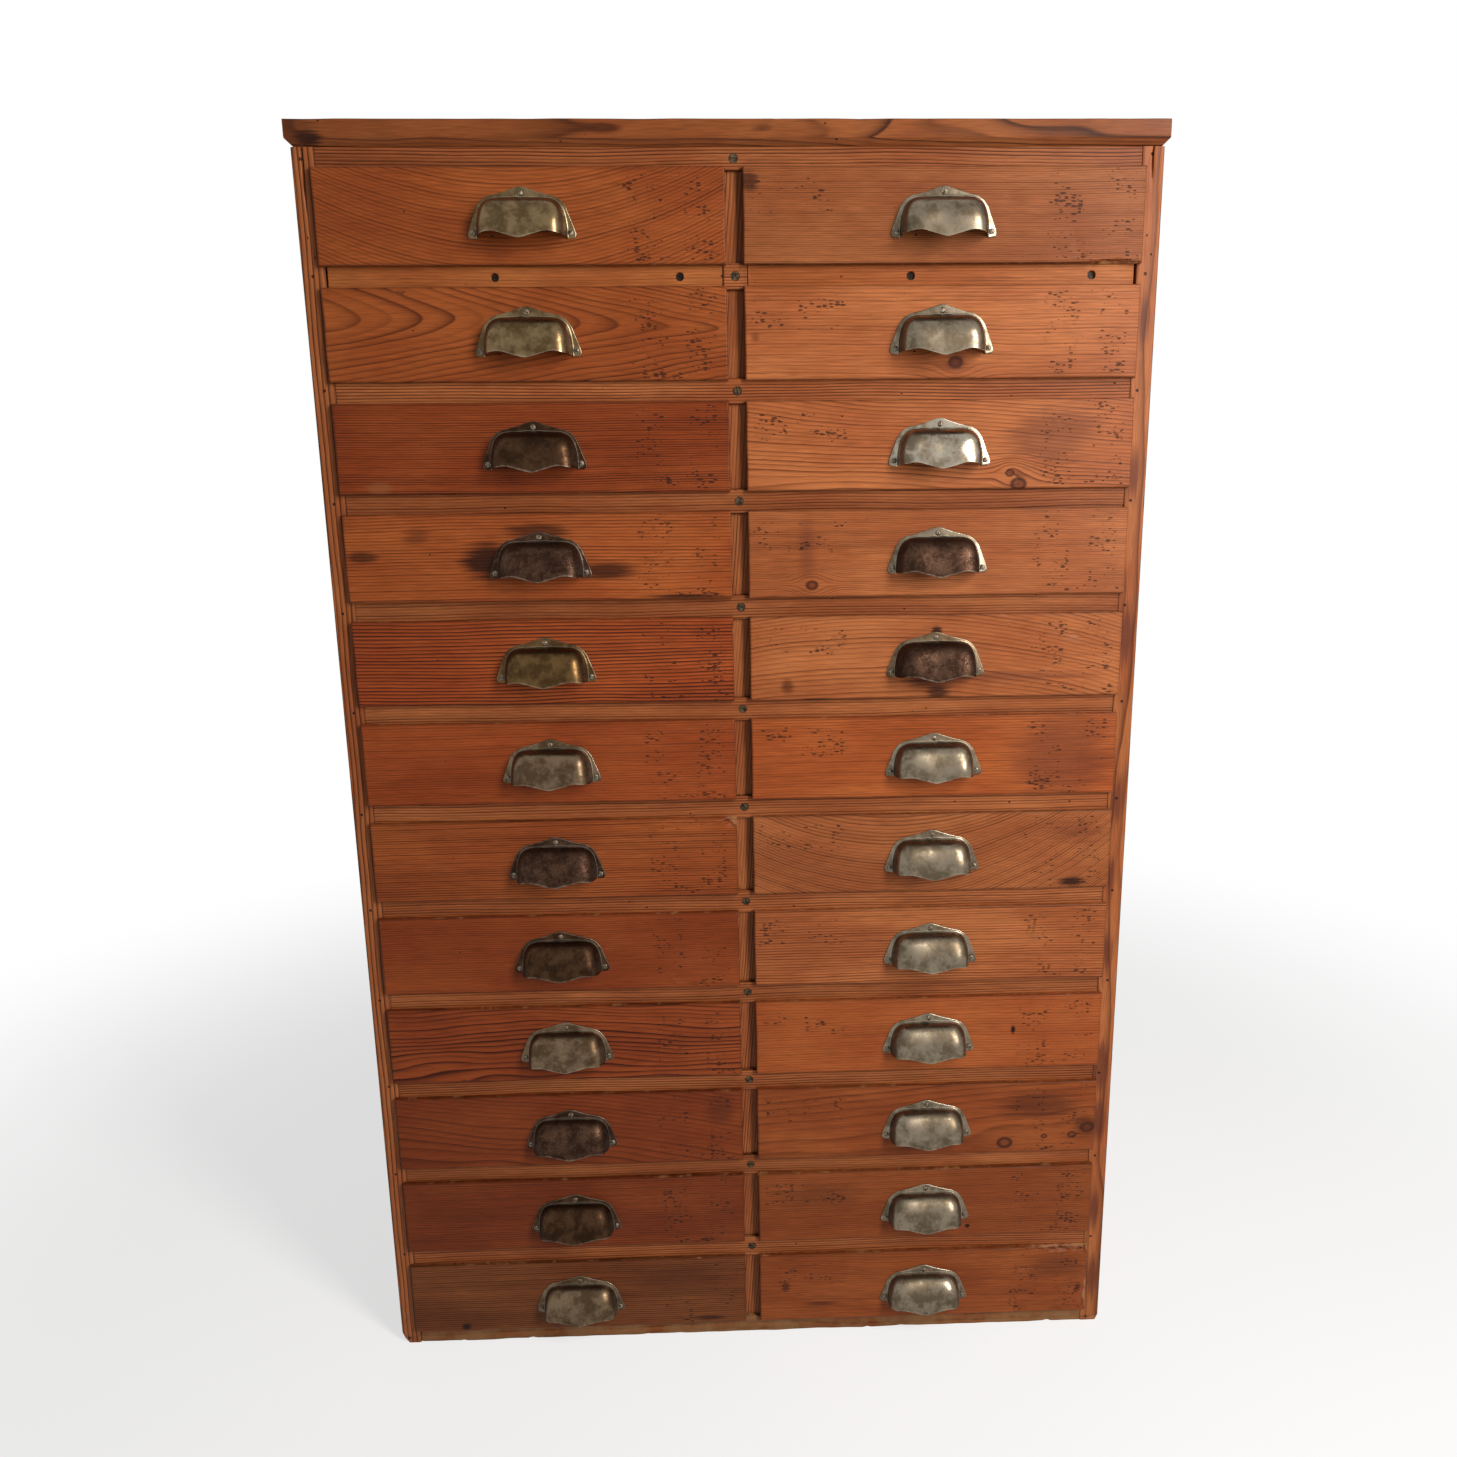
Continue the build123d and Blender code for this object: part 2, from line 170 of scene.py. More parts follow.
class Paint:
    # The node tree of a material or of the world
    def __init__(self, owner):
        self.owner = owner
        owner.use_nodes = True
        self.tree = owner.node_tree
        self.tree.nodes.clear()

    def node(self, kind, settings, inputs):
        made = self.tree.nodes.new(kind)
        for key, value in settings.items():
            setattr(made, key, value)
        for key, value in inputs.items():
            if isinstance(value, Value):
                self.tree.links.new(value.socket, made.inputs[key])
            else:
                made.inputs[key].default_value = value
        return Made(self, made)

    def place(self):
        return self.node("ShaderNodeTexCoord", {}, {}).out("Object")

    def split(self, vector):
        made = self.node("ShaderNodeSeparateXYZ", {}, {0: vector})
        return [made.out(axis) for axis in range(3)]

    def join(self, x, y, z):
        return self.node("ShaderNodeCombineXYZ", {}, {0: x, 1: y, 2: z}).out(0)

    def noise(self, vector, scale=1.0, detail=2.0, roughness=0.5, output=0):
        return self.node("ShaderNodeTexNoise", {}, {"Vector": vector, "Scale": scale, "Detail": detail,
                                                    "Roughness": roughness}).out(output)

    def chance(self, number):
        # A random value from 0 to 1 for each number
        return self.node("ShaderNodeTexWhiteNoise", {"noise_dimensions": "1D"}, {"W": number}).out(0)

    def cells(self, vector, scale):
        return self.node("ShaderNodeTexVoronoi", {}, {"Vector": vector, "Scale": scale})

    def mix(self, factor, first, second, blend="MIX"):
        return self.node("ShaderNodeMix", {"data_type": "RGBA", "blend_type": blend},
                         {0: factor, 6: first, 7: second}).out(2)

    def scaled(self, vector, factor):
        return self.node("ShaderNodeVectorMath", {"operation": "SCALE"}, {0: vector, 3: factor}).out(0)

    def attribute(self, name):
        return self.node("ShaderNodeAttribute", {"attribute_name": name}, {}).out("Fac")

    def raysThatSee(self):
        # 1 for camera, glossy and transmission rays, 0 for the rays that light the object
        path = self.node("ShaderNodeLightPath", {}, {})
        seen = path.out("Is Camera Ray") + path.out("Is Glossy Ray") + path.out("Is Transmission Ray")
        return seen.clamp()

    def end(self, kind, shader):
        self.node(kind, {}, {0: shader})
        return self.owner

    def finish(self, base, roughness, height, relief, **fixed):
        bump = self.node("ShaderNodeBump", {}, {"Strength": 1.0, "Distance": relief * mm, "Height": height})
        inputs = {key.replace("_", " "): value for key, value in fixed.items()}
        shader = self.node("ShaderNodeBsdfPrincipled", {}, {"Base Color": base, "Roughness": roughness,
                                                            "Normal": bump.out(0), **inputs})
        return self.end("ShaderNodeOutputMaterial", shader.out(0))


# Each tone: the pale wood of a year's spring, and its dark late line
pineTones = {
    "red": (colour(135, 64, 29), colour(56, 20, 8)),
    "orange": (colour(145, 76, 36), colour(66, 27, 11)),
    "honey": (colour(152, 89, 50), colour(80, 38, 17)),
    "brown": (colour(124, 70, 36), colour(50, 23, 10)),
    "yellow": (colour(158, 92, 48), colour(104, 52, 25)),
    "dry": (colour(164, 122, 82), colour(120, 80, 48)),
}
inkBlack = colour(34, 17, 11)
umber = colour(84, 42, 24)
plum = colour(104, 56, 42)
straw = colour(182, 128, 84)

# Sizes are in millimetres and places are from the board's middle, along its grain and across it.
# pith: how far the log's middle lies behind and above; tilt: its drift along the board; taper: how
# much the rings shrink along it, which makes arches; bow: how far the grain bends up at the ends.
pineFigure = {
    "seed": 0, "tone": "red", "shade": 1.0, "pith": (200, -100), "tilt": (0.0, 0.0), "taper": 0.0, "bow": 0.0,
    "bowAt": 0.0, "slant": 0.0, "spacing": 2.4, "lines": 1.0, "warp": 9.0, "knots": (), "stains": (),
    "inked": (), "spots": 0.3, "edges": 1.0, "boards": None, "dust": 0.0, "rough": 0.40, "nails": None}


def pine(name, centre=(0, 0, 0), grain="x", **figure):
    # Waxed pine cut from a log. A point's distance from the pith counts its growth rings, and each ring
    # fades from pale to dark: base = mix(pale, dark, part of the ring ^ 5), bent by noise.
    look = {**pineFigure, **figure}
    paint = Paint(bpy.data.materials.new(name))
    place = paint.place()
    early, late = pineTones[look["tone"]]
    x, y, z = [(axis - middle) * 1000.0 for axis, middle in zip(paint.split(place), centre)]
    along, deep, up = {"x": (x, y, z), "z": (z, y, x), "y": (y, x, z)}[grain]
    offset = look["seed"] * 3.7
    # Boards that share a piece are numbered by an attribute, those of the frame by their place
    number = paint.attribute("board")
    if look["boards"]:
        axis, pitch = look["boards"]
        number = ({"x": x, "z": z}[axis] / pitch + 0.5).math("FLOOR")
    along, deep = along + number * 731.0, deep + (number * 1.9).math("SINE") * 30.0
    boardTint = paint.chance(number + offset)
    slant = math.radians(look["slant"])
    ringAlong = along * math.cos(slant) + up * math.sin(slant)
    ringUp = up * math.cos(slant) - along * math.sin(slant)
    bend = paint.noise(paint.join(along * 0.0035 + offset, deep * 0.01, up * 0.01 - offset), output=1)
    bendDeep, bendUp, bendSize = [channel - 0.5 for channel in paint.split(bend)]
    shortAlong = (ringAlong - look["bowAt"]) * (1 / 190)
    fromDeep = deep - look["pith"][0] + ringAlong * look["tilt"][0] + bendDeep * look["warp"]
    fromUp = ringUp - look["pith"][1] + ringAlong * look["tilt"][1] + bendUp * look["warp"] \
        - shortAlong * shortAlong * look["bow"]
    knotMask, knotRing = None, None
    for knotAlong, knotUp, radius in look["knots"]:
        a, u = along - knotAlong, up - knotUp
        squared = a * a * 0.6 + u * u
        fromUp = fromUp - u * (squared * (-1 / (2.6 * radius) ** 2)).math("EXPONENT") * 1.15
        reach = squared.math("SQRT") + bendSize * radius * 1.2
        mask = reach.ramp(radius * 1.05, radius * 0.7)
        ring = (reach * (7.0 / radius)).math("SINE") * mask
        knotMask = mask if knotMask is None else knotMask.math("MAXIMUM", mask)
        knotRing = ring if knotRing is None else knotRing + ring
    radial = (fromDeep * fromDeep + fromUp * fromUp).math("SQRT") + ringAlong * look["taper"]
    rings = radial * (1 / look["spacing"]) + bendSize * 2.0
    part = rings.math("FRACT")
    ringTint = paint.chance(rings.math("FLOOR"))
    line = (part ** 3.0) * part.ramp(1.0, 0.86) * (ringTint * 1.1 + 0.45)
    band = paint.noise(paint.join(rings * 0.19 + offset, along * 0.002, 0.0), detail=1.0)
    fibre = paint.noise(paint.join(along * 0.010 + offset, deep * 0.5, up * 0.5), detail=3.0, roughness=0.6)
    hair = paint.noise(paint.join(along * 0.05, deep * 1.5 + offset, up * 1.5), detail=1.0)
    cloud = paint.noise(paint.join(along * 0.006 - offset, deep * 0.014, up * 0.014 + offset), detail=3.0,
                        roughness=0.55)
    dark = (line * 1.25 + (band - 0.47) * 0.6 + (fibre - 0.47) * 1.1) * look["lines"]
    wood = paint.mix(dark.clamp(), early, late)
    bloom = cloud.ramp(0.62, 0.38) * 0.5
    wood = paint.mix(bloom, wood, paint.mix(1.0, wood, colour(236, 206, 196), "MULTIPLY"))
    hairs = (fibre - 0.5) * 0.95 + (hair - 0.5) * 0.95 + 1.0
    shade = hairs * (cloud * 0.6 + 0.70) * (boardTint * 0.2 + 0.9)
    wood = paint.scaled(wood, shade * look["shade"])
    if knotMask is not None:
        core = paint.mix((knotRing * 0.5 + 0.5).clamp(), colour(52, 22, 12), colour(104, 52, 28))
        wood = paint.mix(knotMask * 0.9, wood, core)
    for stainAlong, stainUp, wide, tall, strength, tint in look["stains"]:
        a, u = (along - stainAlong) * (1 / wide), (up - stainUp) * (1 / tall)
        reach = (a * a + u * u).math("SQRT") + bendSize * 1.4 + (fibre - 0.5) * 1.6
        mask = reach.ramp(1.2, 0.35) * strength
        wood = paint.mix(mask, wood, paint.mix(0.55, tint, paint.mix(1.0, wood, tint, "MULTIPLY")))
    # Short dark dashes along the grain, one to a cell, thick inside the marked windows
    dash = paint.cells(paint.join(along * 0.17 + offset, deep * 0.02, up * 0.50), 1.0)
    patch = paint.noise(paint.join(along * 0.028 - offset, deep * 0.03, up * 0.055), detail=2.0)
    amount = patch.ramp(0.54, 0.70) * look["spots"]
    for start, end, low, high, weight in look["inked"]:
        window = along.ramp(start - 4, start + 4) * along.ramp(end + 4, end - 4)
        window = window * up.ramp(low - 4, low + 4) * up.ramp(high + 4, high - 4)
        amount = amount + window * (patch.ramp(0.38, 0.60) * 0.8 + 0.2) * weight
    reach = dash.out("Distance") + (fibre - 0.5) * 0.22 - paint.split(dash.out("Color"))[0] * amount * 0.44
    ink = reach.ramp(0.03, -0.06)
    smudge = amount.ramp(0.3, 1.0) * (dash.out("Distance").ramp(0.75, 0.1) * cloud.ramp(0.35, 0.65))
    wood = paint.mix(smudge * 0.30, wood, umber)
    wood = paint.mix(ink * 0.76, wood, inkBlack)
    cells = paint.cells(paint.join(along * 0.8, deep, up * 1.3), 0.07).out("Distance")
    chosen = paint.noise(paint.join(along * 0.021, deep * 0.03, up * 0.03), detail=0.0)
    hole = cells.ramp(0.085, 0.05) * (chosen + amount * 0.08).ramp(0.60, 0.63)
    wood = paint.mix(hole * 0.9, wood, colour(24, 11, 7))
    if look["nails"]:
        # One nail hole per rail, its place across wandering from rail to rail
        first, pitch, across = look["nails"]
        turn = (along - first) * (1 / pitch)
        row = (turn + 0.5).math("FLOOR")
        wander = paint.chance(row + offset) - 0.5
        a, u = (turn - row) * pitch + wander * 9.0, up - across + wander * 5.0
        nail = (a * a + u * u).math("SQRT").ramp(1.7, 1.1)
        wood = paint.mix(nail * 0.9, wood, colour(28, 14, 9))
        hole = hole.math("MAXIMUM", nail)
    edge = paint.attribute("edge")
    edgeNoise = paint.noise(place, 60.0, 3.0, 0.6)
    # Dark along the edges: partly grime, partly painted shade for the gaps and the undersides of the lips
    # between parts
    rim = edge.ramp(0.35, 1.0) * (edgeNoise * 0.8 + 0.25)
    wood = paint.mix(rim * (0.70 * look["edges"]), wood, colour(42, 19, 10))
    worn = (edge + (edgeNoise - 0.5) * 1.5).ramp(0.98, 1.35)
    wood = paint.mix(worn * (0.45 * look["edges"]), wood, straw)
    if look["dust"]:
        film = paint.noise(place, 26.0, 4.0, 0.65)
        wood = paint.mix(film.ramp(0.30, 0.62) * look["dust"], wood, colour(132, 100, 66))
    rough = (fibre - 0.5) * 0.14 - line * 0.05 + (cloud - 0.5) * 0.2 + ink * 0.1 + look["rough"]
    height = fibre * 0.35 - line * 0.4 - ink * 1.0 - hole * 2.5
    return paint.finish(wood, rough.clamp(), height, 0.3, Specular_IOR_Level=0.1)


metalLooks = {
    "olive": {"bright": colour(120, 100, 72), "dull": colour(72, 57, 36), "speckle": 0.10, "rough": 0.24},
    "brass": {"bright": colour(98, 75, 46), "dull": colour(60, 43, 25), "speckle": 0.12, "rough": 0.24},
    "nickel": {"bright": colour(130, 118, 101), "dull": colour(82, 70, 54), "speckle": 0.08, "rough": 0.23},
    # dim: darker plating and painted shade, for three pulls of the left column where less light falls; one
    # plate on the right has it too
    "dim": {"bright": colour(112, 94, 74), "dull": colour(66, 50, 34), "speckle": 0.10, "rough": 0.25},
    # bright: paler, smoother plating and a painted reflection, for a pull that catches the light
    "bright": {"bright": colour(164, 155, 139), "dull": colour(92, 79, 62), "speckle": 0.05, "rough": 0.18},
    "dark": {"bright": colour(74, 53, 36), "dull": colour(40, 26, 17), "speckle": 0.35, "rough": 0.30},
    "rust": {"bright": colour(82, 60, 47), "dull": colour(40, 26, 19), "speckle": 0.75, "rough": 0.34},
}


def metal(name, bright, dull, speckle, rough):
    # Worn plating: bright and dull clouds, fine speckles where it has gone, dark patina and painted shade
    # where the mesh's edge attribute is below 0, and rubbed metal with a painted highlight where it is above
    paint = Paint(bpy.data.materials.new(name))
    place = paint.place()
    cloud = paint.noise(place, 62.0, 4.0, 0.6)
    streak = paint.noise(place, 260.0, 3.0, 0.6)
    fine = paint.noise(place, 1100.0, 2.0, 0.7)
    mask = (cloud + (streak - 0.5) * 0.3).ramp(0.66, 0.36)
    base = paint.mix(mask * 0.9, bright, dull)
    grain = fine.ramp(0.40, 0.62)
    base = paint.mix(grain * speckle, base, dull)
    base = paint.mix((1.0 - grain) * streak.ramp(0.45, 0.65) * (speckle * 0.6), base, bright)
    edge = paint.attribute("edge")
    hollow = (edge * -1.0 + (streak - 0.5) * 0.6).ramp(0.15, 0.9)
    # Dark patina in hollows, and painted shade at the cup's ends
    base = paint.mix(hollow * 0.6, base, colour(30, 25, 19))
    rubbedAndHighlight = (edge + (cloud - 0.5) * 0.6).ramp(0.40, 1.0)
    # Rubbed metal, with a painted highlight on the rims and the bead
    base = paint.mix(rubbedAndHighlight * 0.65, base, paint.mix(0.5, bright, colour(176, 166, 146)))
    roughness = mask * 0.14 + grain * (speckle * 0.2) - rubbedAndHighlight * 0.06 + hollow * 0.25 + rough
    height = cloud * 0.5 + fine * (speckle * 0.5) + streak * 0.2
    metallic = (1.0 - hollow * 0.5 - rubbedAndHighlight * 0.7).clamp()
    return paint.finish(base, roughness.clamp(), height, 0.16, Metallic=metallic)


def screwSteel(name, worn, clean):
    paint = Paint(bpy.data.materials.new(name))
    rust = paint.noise(paint.place(), 420.0, 3.0, 0.65)
    base = paint.mix(rust.ramp(0.38, 0.62), worn, clean)
    # Painted shade: screws that sit deep in their holes are darkened
    sunkShade = paint.split(paint.place())[1].ramp(framePlane + 1.5 * mm, framePlane + 3.5 * mm)
    base = paint.mix(sunkShade * 0.85, base, colour(20, 11, 8))
    return paint.finish(base, rust.ramp(0.3, 0.8) * 0.3 + 0.32, rust, 0.2, Metallic=rust * 0.3 + 0.65)


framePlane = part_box("side_left")[0].y
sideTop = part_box("side_left")[1].z
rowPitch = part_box("drawer_left_01")[0].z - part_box("drawer_left_02")[0].z


def quarterRound(distance, radius):
    # How far a face falls back at a distance from a corner that is rounded to a quarter circle
    inside = np.clip(radius - distance, 0, radius)
    return radius - np.sqrt(np.maximum(radius ** 2 - inside ** 2, 0))


faceWear = {"round": 1.0, "uneven": 0.5, "step": 0.006, "margin": 7.0, "nicks": 1.0, "hollow": 0.10,
            "reach": 3.5, "chips": (), "cracks": (), "holes": ()}


def wornFace(shape, low, high, seed, back=None, **wear):
    # A board whose front is a grid over its width and height. Its depth falls away at the edges as a
    # quarter circle whose radius wanders. Chips are bowls, cracks are grooves beside a line of points
    # and holes are pits, all in mm from the board's lower left corner.
    look = {**faceWear, **wear}
    holes = look["holes"]
    xs = samples(low.x, high.x, look["step"], look["margin"], [low.x + hole[0] * mm for hole in holes])
    zs = samples(low.z, high.z, look["step"], look["margin"], [low.z + hole[1] * mm for hole in holes[:1]])
    x, z = np.meshgrid(xs, zs)
    place = np.stack([x, z], -1)
    fromLeft, fromFoot = (x - low.x) / mm, (z - low.z) / mm
    dx = np.minimum(x - low.x, high.x - x)
    dz = np.minimum(z - low.z, high.z - z)
    radius = np.clip(look["round"] + look["uneven"] * waves(place, seed, 0.045), 0.3, 4.0) * mm
    corner = np.hypot(np.clip(radius - dx, 0, None), np.clip(radius - dz, 0, None))
    drop = radius - np.sqrt(radius ** 2 - np.minimum(corner, radius) ** 2)
    nick = np.clip(waves(place, seed + 50, 0.011) - 0.80, 0, 1) * np.exp(-np.minimum(dx, dz) / 0.0014)
    drop = drop + nick * look["nicks"] * 3.0 * mm
    inward = np.clip(np.minimum(dx, dz) / 0.004, 0, 1)
    drop = drop + look["hollow"] * mm * (1 + waves(place, seed + 70, 0.09)) * inward
    damage = np.zeros(x.shape)
    for chipX, chipZ, wide, tall, deep in look["chips"]:
        bowl = ((fromLeft - chipX) / wide) ** 2 + ((fromFoot - chipZ) / tall) ** 2
        dent = np.clip(1.15 + 0.4 * waves(place, seed + 90, 0.006) - bowl, 0, 1)
        drop, damage = drop + dent * deep * mm, np.maximum(damage, dent)
    for line, wide, deep in look["cracks"]:
        reach = np.full(x.shape, 1e9)
        for (x0, z0), (x1, z1) in zip(line[:-1], line[1:]):
            ex, ez = x1 - x0, z1 - z0
            t = np.clip(((fromLeft - x0) * ex + (fromFoot - z0) * ez) / (ex * ex + ez * ez), 0, 1)
            reach = np.minimum(reach, np.hypot(fromLeft - x0 - t * ex, fromFoot - z0 - t * ez))
        drop = drop + np.exp(-(reach / wide) ** 2) * deep * mm
    back = high.y if back is None else back
    drop = np.clip(drop, 0, back - low.y - 0.4 * mm)
    for holeX, holeZ, holeRadius, deep in holes:
        reach = np.hypot(fromLeft - holeX, fromFoot - holeZ)
        drop = np.maximum(drop, np.clip((holeRadius - reach) / 0.25 + 0.5, 0, 1) * deep * mm)
    # The edge value, high at the border and in chips, paints dark grime and painted shade there, and pale
    # wear at the very edge
    edge = np.exp(-np.minimum(dx, dz) / (look["reach"] * mm)) + damage * 0.9
    # One more ring of points, at the back, closes the edges
    ring = np.pad(np.stack([x, low.y + drop, z], -1), ((1, 1), (1, 1), (0, 0)), mode="edge")
    ring[0, :, 1] = ring[-1, :, 1] = ring[:, 0, 1] = ring[:, -1, 1] = back
    shape.grid(ring, 0, np.pad(np.clip(edge, 0, 1.2), 1, mode="edge"))
    border = np.concatenate([ring[0, :-1], ring[:-1, -1], ring[-1, :0:-1], ring[:0:-1, 0]])
    shape.cap(border[::-1])
    return back


def boards(node):
    # The box of each separate board in a node: corners joined by edges share the lowest of their labels
    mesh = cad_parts[node].data
    points, ends = np.empty(len(mesh.vertices) * 3), np.empty(len(mesh.edges) * 2, np.int32)
    mesh.vertices.foreach_get("co", points)
    mesh.edges.foreach_get("vertices", ends)
    spots, place = np.unique(points.reshape(-1, 3).round(6), axis=0, return_inverse=True)
    ends = place.ravel()[ends].reshape(-1, 2)
    label = np.arange(len(spots))
    while (label[ends[:, 0]] != label[ends[:, 1]]).any():
        np.minimum.at(label, ends.ravel(), label[ends].min(1).repeat(2))
    groups = [spots[label == one] for one in np.unique(label)]
    return [(Vector(group.min(0)), Vector(group.max(0))) for group in groups]


side = {"step": 0.007, "round": 1.3, "uneven": 0.6, "innerRound": 0.7, "rabbetStep": 0.4,
        "left": {"foot": (8.0, 12.0), "split": (0.46, 62.0, 0.9), "name": "leftSide"},
        "right": {"foot": (3.5, 7.0), "split": (0.50, 36.0, 0.6), "name": "rightSide"}}


def sideBoard(hand, material):
    # A side: its outline seen from above, with worn front corners and the rabbet for the back boards, is
    # carried up the height. A split runs down from the top, and the outer corner is worn off at the foot.
    look = side[hand]
    node = f"side_{hand}"
    low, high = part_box(node)
    backLow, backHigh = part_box("back_boards")
    sign = -1 if hand == "left" else 1
    outer, inner = (low.x, high.x) if sign < 0 else (high.x, low.x)
    rabbet = backLow.x if sign < 0 else backHigh.x
    width = high.x - low.x
    z = samples(low.z, high.z, side["step"])[:, None]
    across = samples(0.0, width, 0.0016, 5.0)[None, :]
    outerRound = np.clip(side["round"] + side["uneven"] * waves(z, 11 + sign, 0.06)[:, None], 0.5, 3) * mm
    innerRound = np.clip(side["innerRound"] + 0.3 * waves(z, 31 + sign, 0.04)[:, None], 0.3, 2) * mm
    cutWide, cutTall = look["foot"]
    cut = cutWide * mm * np.clip(1 - (z - low.z) / (cutTall * mm), 0, 1) ** 1.2
    splitAt, splitLong, splitWide = look["split"]
    splitMiddle = width * splitAt + 0.9 * mm * waves(z, 5 + sign, 0.05)[:, None]
    splitOpen = np.clip((z - high.z + splitLong * mm) / (splitLong * 0.5 * mm), 0, 1)
    split = np.exp(-((across - splitMiddle) / (splitWide * mm * (0.3 + 0.7 * splitOpen))) ** 2) * splitOpen
    drop = quarterRound(across, outerRound) + quarterRound(width - across, innerRound) + split * 3.5 * mm
    drop = drop + 0.08 * mm * (1 + waves(np.stack(np.broadcast_arrays(across, z), -1), 3, 0.03))
    moved = np.maximum(across, cut)
    front = np.stack(np.broadcast_arrays(outer - sign * moved, low.y + drop, z), -1)
    frontEdge = np.exp(-across / 0.0025) * 0.75 + np.exp(-(width - across) / 0.0018) * 0.8 + split
    frontEdge = frontEdge + (cut > 0) * 0.9
    depths = np.array([0.5, 1, 2, 4, 8, 16, 40, 90, 150, 210, 270, 320]) * mm + low.y
    innerWall = np.stack(np.broadcast_arrays(inner, depths[None, :], z), -1)
    step = np.stack([np.stack(np.broadcast_arrays(px, py, z[:, 0]), -1) for px, py in
                     ((inner, backLow.y), (rabbet, backLow.y), (rabbet, high.y), (outer, high.y))], 1)
    outerDepths = depths[None, ::-1]
    outerCut = cut * np.exp(-((outerDepths - low.y) / 0.02) ** 2)
    outerWall = np.stack(np.broadcast_arrays(outer - sign * outerCut, outerDepths, z), -1)
    path = np.concatenate([front, innerWall, step, outerWall, front[:, :1]], 1)
    # The edge value darkens the pine at the front corners, the split and the cut foot, and rises near the
    # floor, so the side is darker towards the bottom
    wallEdge = np.exp(-(depths - low.y) / 0.004)[None, :] * 0.8 + np.exp(-(z - low.z) / 0.010) * 0.8
    edges = np.concatenate([frontEdge + np.exp(-(z - low.z) / 0.004) * 0.6, wallEdge, np.zeros((len(z), 4)),
                            wallEdge[:, ::-1], frontEdge[:, :1] + 0 * z], 1)
    shape = Shape()
    shape.grid(path, 0, np.clip(edges, 0, 1.2))
    shape.cap(path[0, :-1])
    shape.cap(path[-1, :-1])
    return fit(shape.build(look["name"], [material]), node, "carcass")


topLook = {"round": 1.1, "chamfer": 6.5, "step": 0.004}


def topBoard(material):
    # The top: a rectangular loop drawn in by an inset at each height. The inset runs in along the chamfer
    # under the front and the ends, is nothing up the face, and follows a quarter circle over the upper edge.
    low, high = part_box("top_board")
    chamfer = topLook["chamfer"] * mm
    xs = samples(low.x, high.x, topLook["step"])
    ys = samples(low.y, high.y, topLook["step"])
    outline = np.concatenate([
        np.stack([xs, np.full(len(xs), low.y)], -1), np.stack([np.full(len(ys) - 1, high.x), ys[1:]], -1),
        np.stack([xs[::-1][1:], np.full(len(xs) - 1, high.y)], -1),
        np.stack([np.full(len(ys) - 2, low.x), ys[::-1][1:-1]], -1)])
    radius = topLook["round"] * mm * np.clip(1 + 0.7 * waves(outline, 8, 0.06), 0.4, 2.4)
    nicks = np.clip(waves(outline, 9, 0.016) - 0.95, 0, 1) * 1.6 * mm
    turn = np.radians([0, 20, 40, 60, 80, 90])[:, None]
    faceTop = high.z - radius[None, :]
    insets = np.concatenate([
        np.array([[chamfer], [chamfer * 0.5], [0.4 * mm], [0.0], [0.0], [0.0]]) + 0 * radius,
        radius * (1 - np.cos(turn)) + nicks * np.sin(turn)])
    heights = np.concatenate([
        np.array([[0.0], [chamfer * 0.5], [chamfer - 0.3 * mm], [chamfer + 0.5 * mm], [chamfer + 4 * mm],
                  [chamfer + 9 * mm]]) + low.z + 0 * radius, faceTop + radius * np.sin(turn)])
    # Edge values ring by ring: painted shade on the chamfer under the board, grime and wear on its upper edge
    wearAndLight = np.array([0.5, 0.35, 0.6, 0.3, 0.0, 0.0, 0.3, 0.7, 0.85, 0.85, 0.7, 0.5])[:, None] + 0 * radius
    x = np.clip(outline[:, 0], low.x + insets, high.x - insets)
    y = np.clip(outline[:, 1], low.y + insets, high.y - np.minimum(insets, 1.0 * mm))
    loop = np.stack([x, y, heights], -1)
    shape = Shape()
    shape.grid(np.concatenate([loop, loop[:, :1]], 1), 0, np.concatenate([wearAndLight, wearAndLight[:, :1]], 1))
    shape.cap(loop[0])
    # Known fault: this cap leaves no face in the mesh, so the board is open above
    shape.cap(loop[-1])
    return fit(shape.build("topBoard", [material]), "top_board", "carcass")


screwHole = {"radius": 4.25, "deep": 1.5}
stripHole = {"radius": 3.9, "deep": 4.2, "shares": (0.42, 0.89)}


def railPieces(wood):
    # Twelve rails. The second is cut back to carry the two newer strips, but for a block in its middle.
    shape = Shape()
    strips = sorted(boards("repair_strips"), key=lambda box: box[0].x)
    gap = 0.5 * mm
    for row, (low, high) in enumerate(sorted(boards("front_rails"), key=lambda box: -box[0].z)):
        shape.board = row * 1.0
        hole = ((high.z - low.z) / 2 / mm, screwHole["radius"], screwHole["deep"])
        if row == 1:
            start, end = strips[0][1].x + gap, strips[1][0].x - gap
            block = Vector((start, low.y, low.z)), Vector((end, high.y, high.z))
            wornFace(shape, *block, 80, step=0.002, margin=4.0, holes=((-start / mm, *hole),))
            for number, (first, last) in enumerate(((low.x, start), (end, high.x))):
                cutBack = Vector((first, strips[0][1].y + gap, low.z)), Vector((last, high.y, high.z))
                wornFace(shape, *cutBack, 81 + number, round=0.3)
        else:
            wornFace(shape, low, high, 60 + row, round=0.8, step=0.007, margin=5.0, reach=2.2,
                     holes=((-low.x / mm, *hole),))
    return fit(shape.build("rails", [wood]), "front_rails", "carcass")


def stripPieces(wood):
    # Two newer strips, each with two deep screw holes
    shape = Shape()
    for number, (low, high) in enumerate(sorted(boards("repair_strips"), key=lambda box: box[0].x)):
        shape.board = number * 1.0
        long = (high.x - low.x) / mm
        hole = ((high.z - low.z) / 2 / mm, stripHole["radius"], stripHole["deep"])
        holes = [(long * share, *hole) for share in stripHole["shares"]]
        wornFace(shape, low, high, 90 + number, round=0.6, step=0.006, margin=4.0, reach=1.6, holes=holes)
    return fit(shape.build("repairStrips", [wood]), "repair_strips", "carcass")


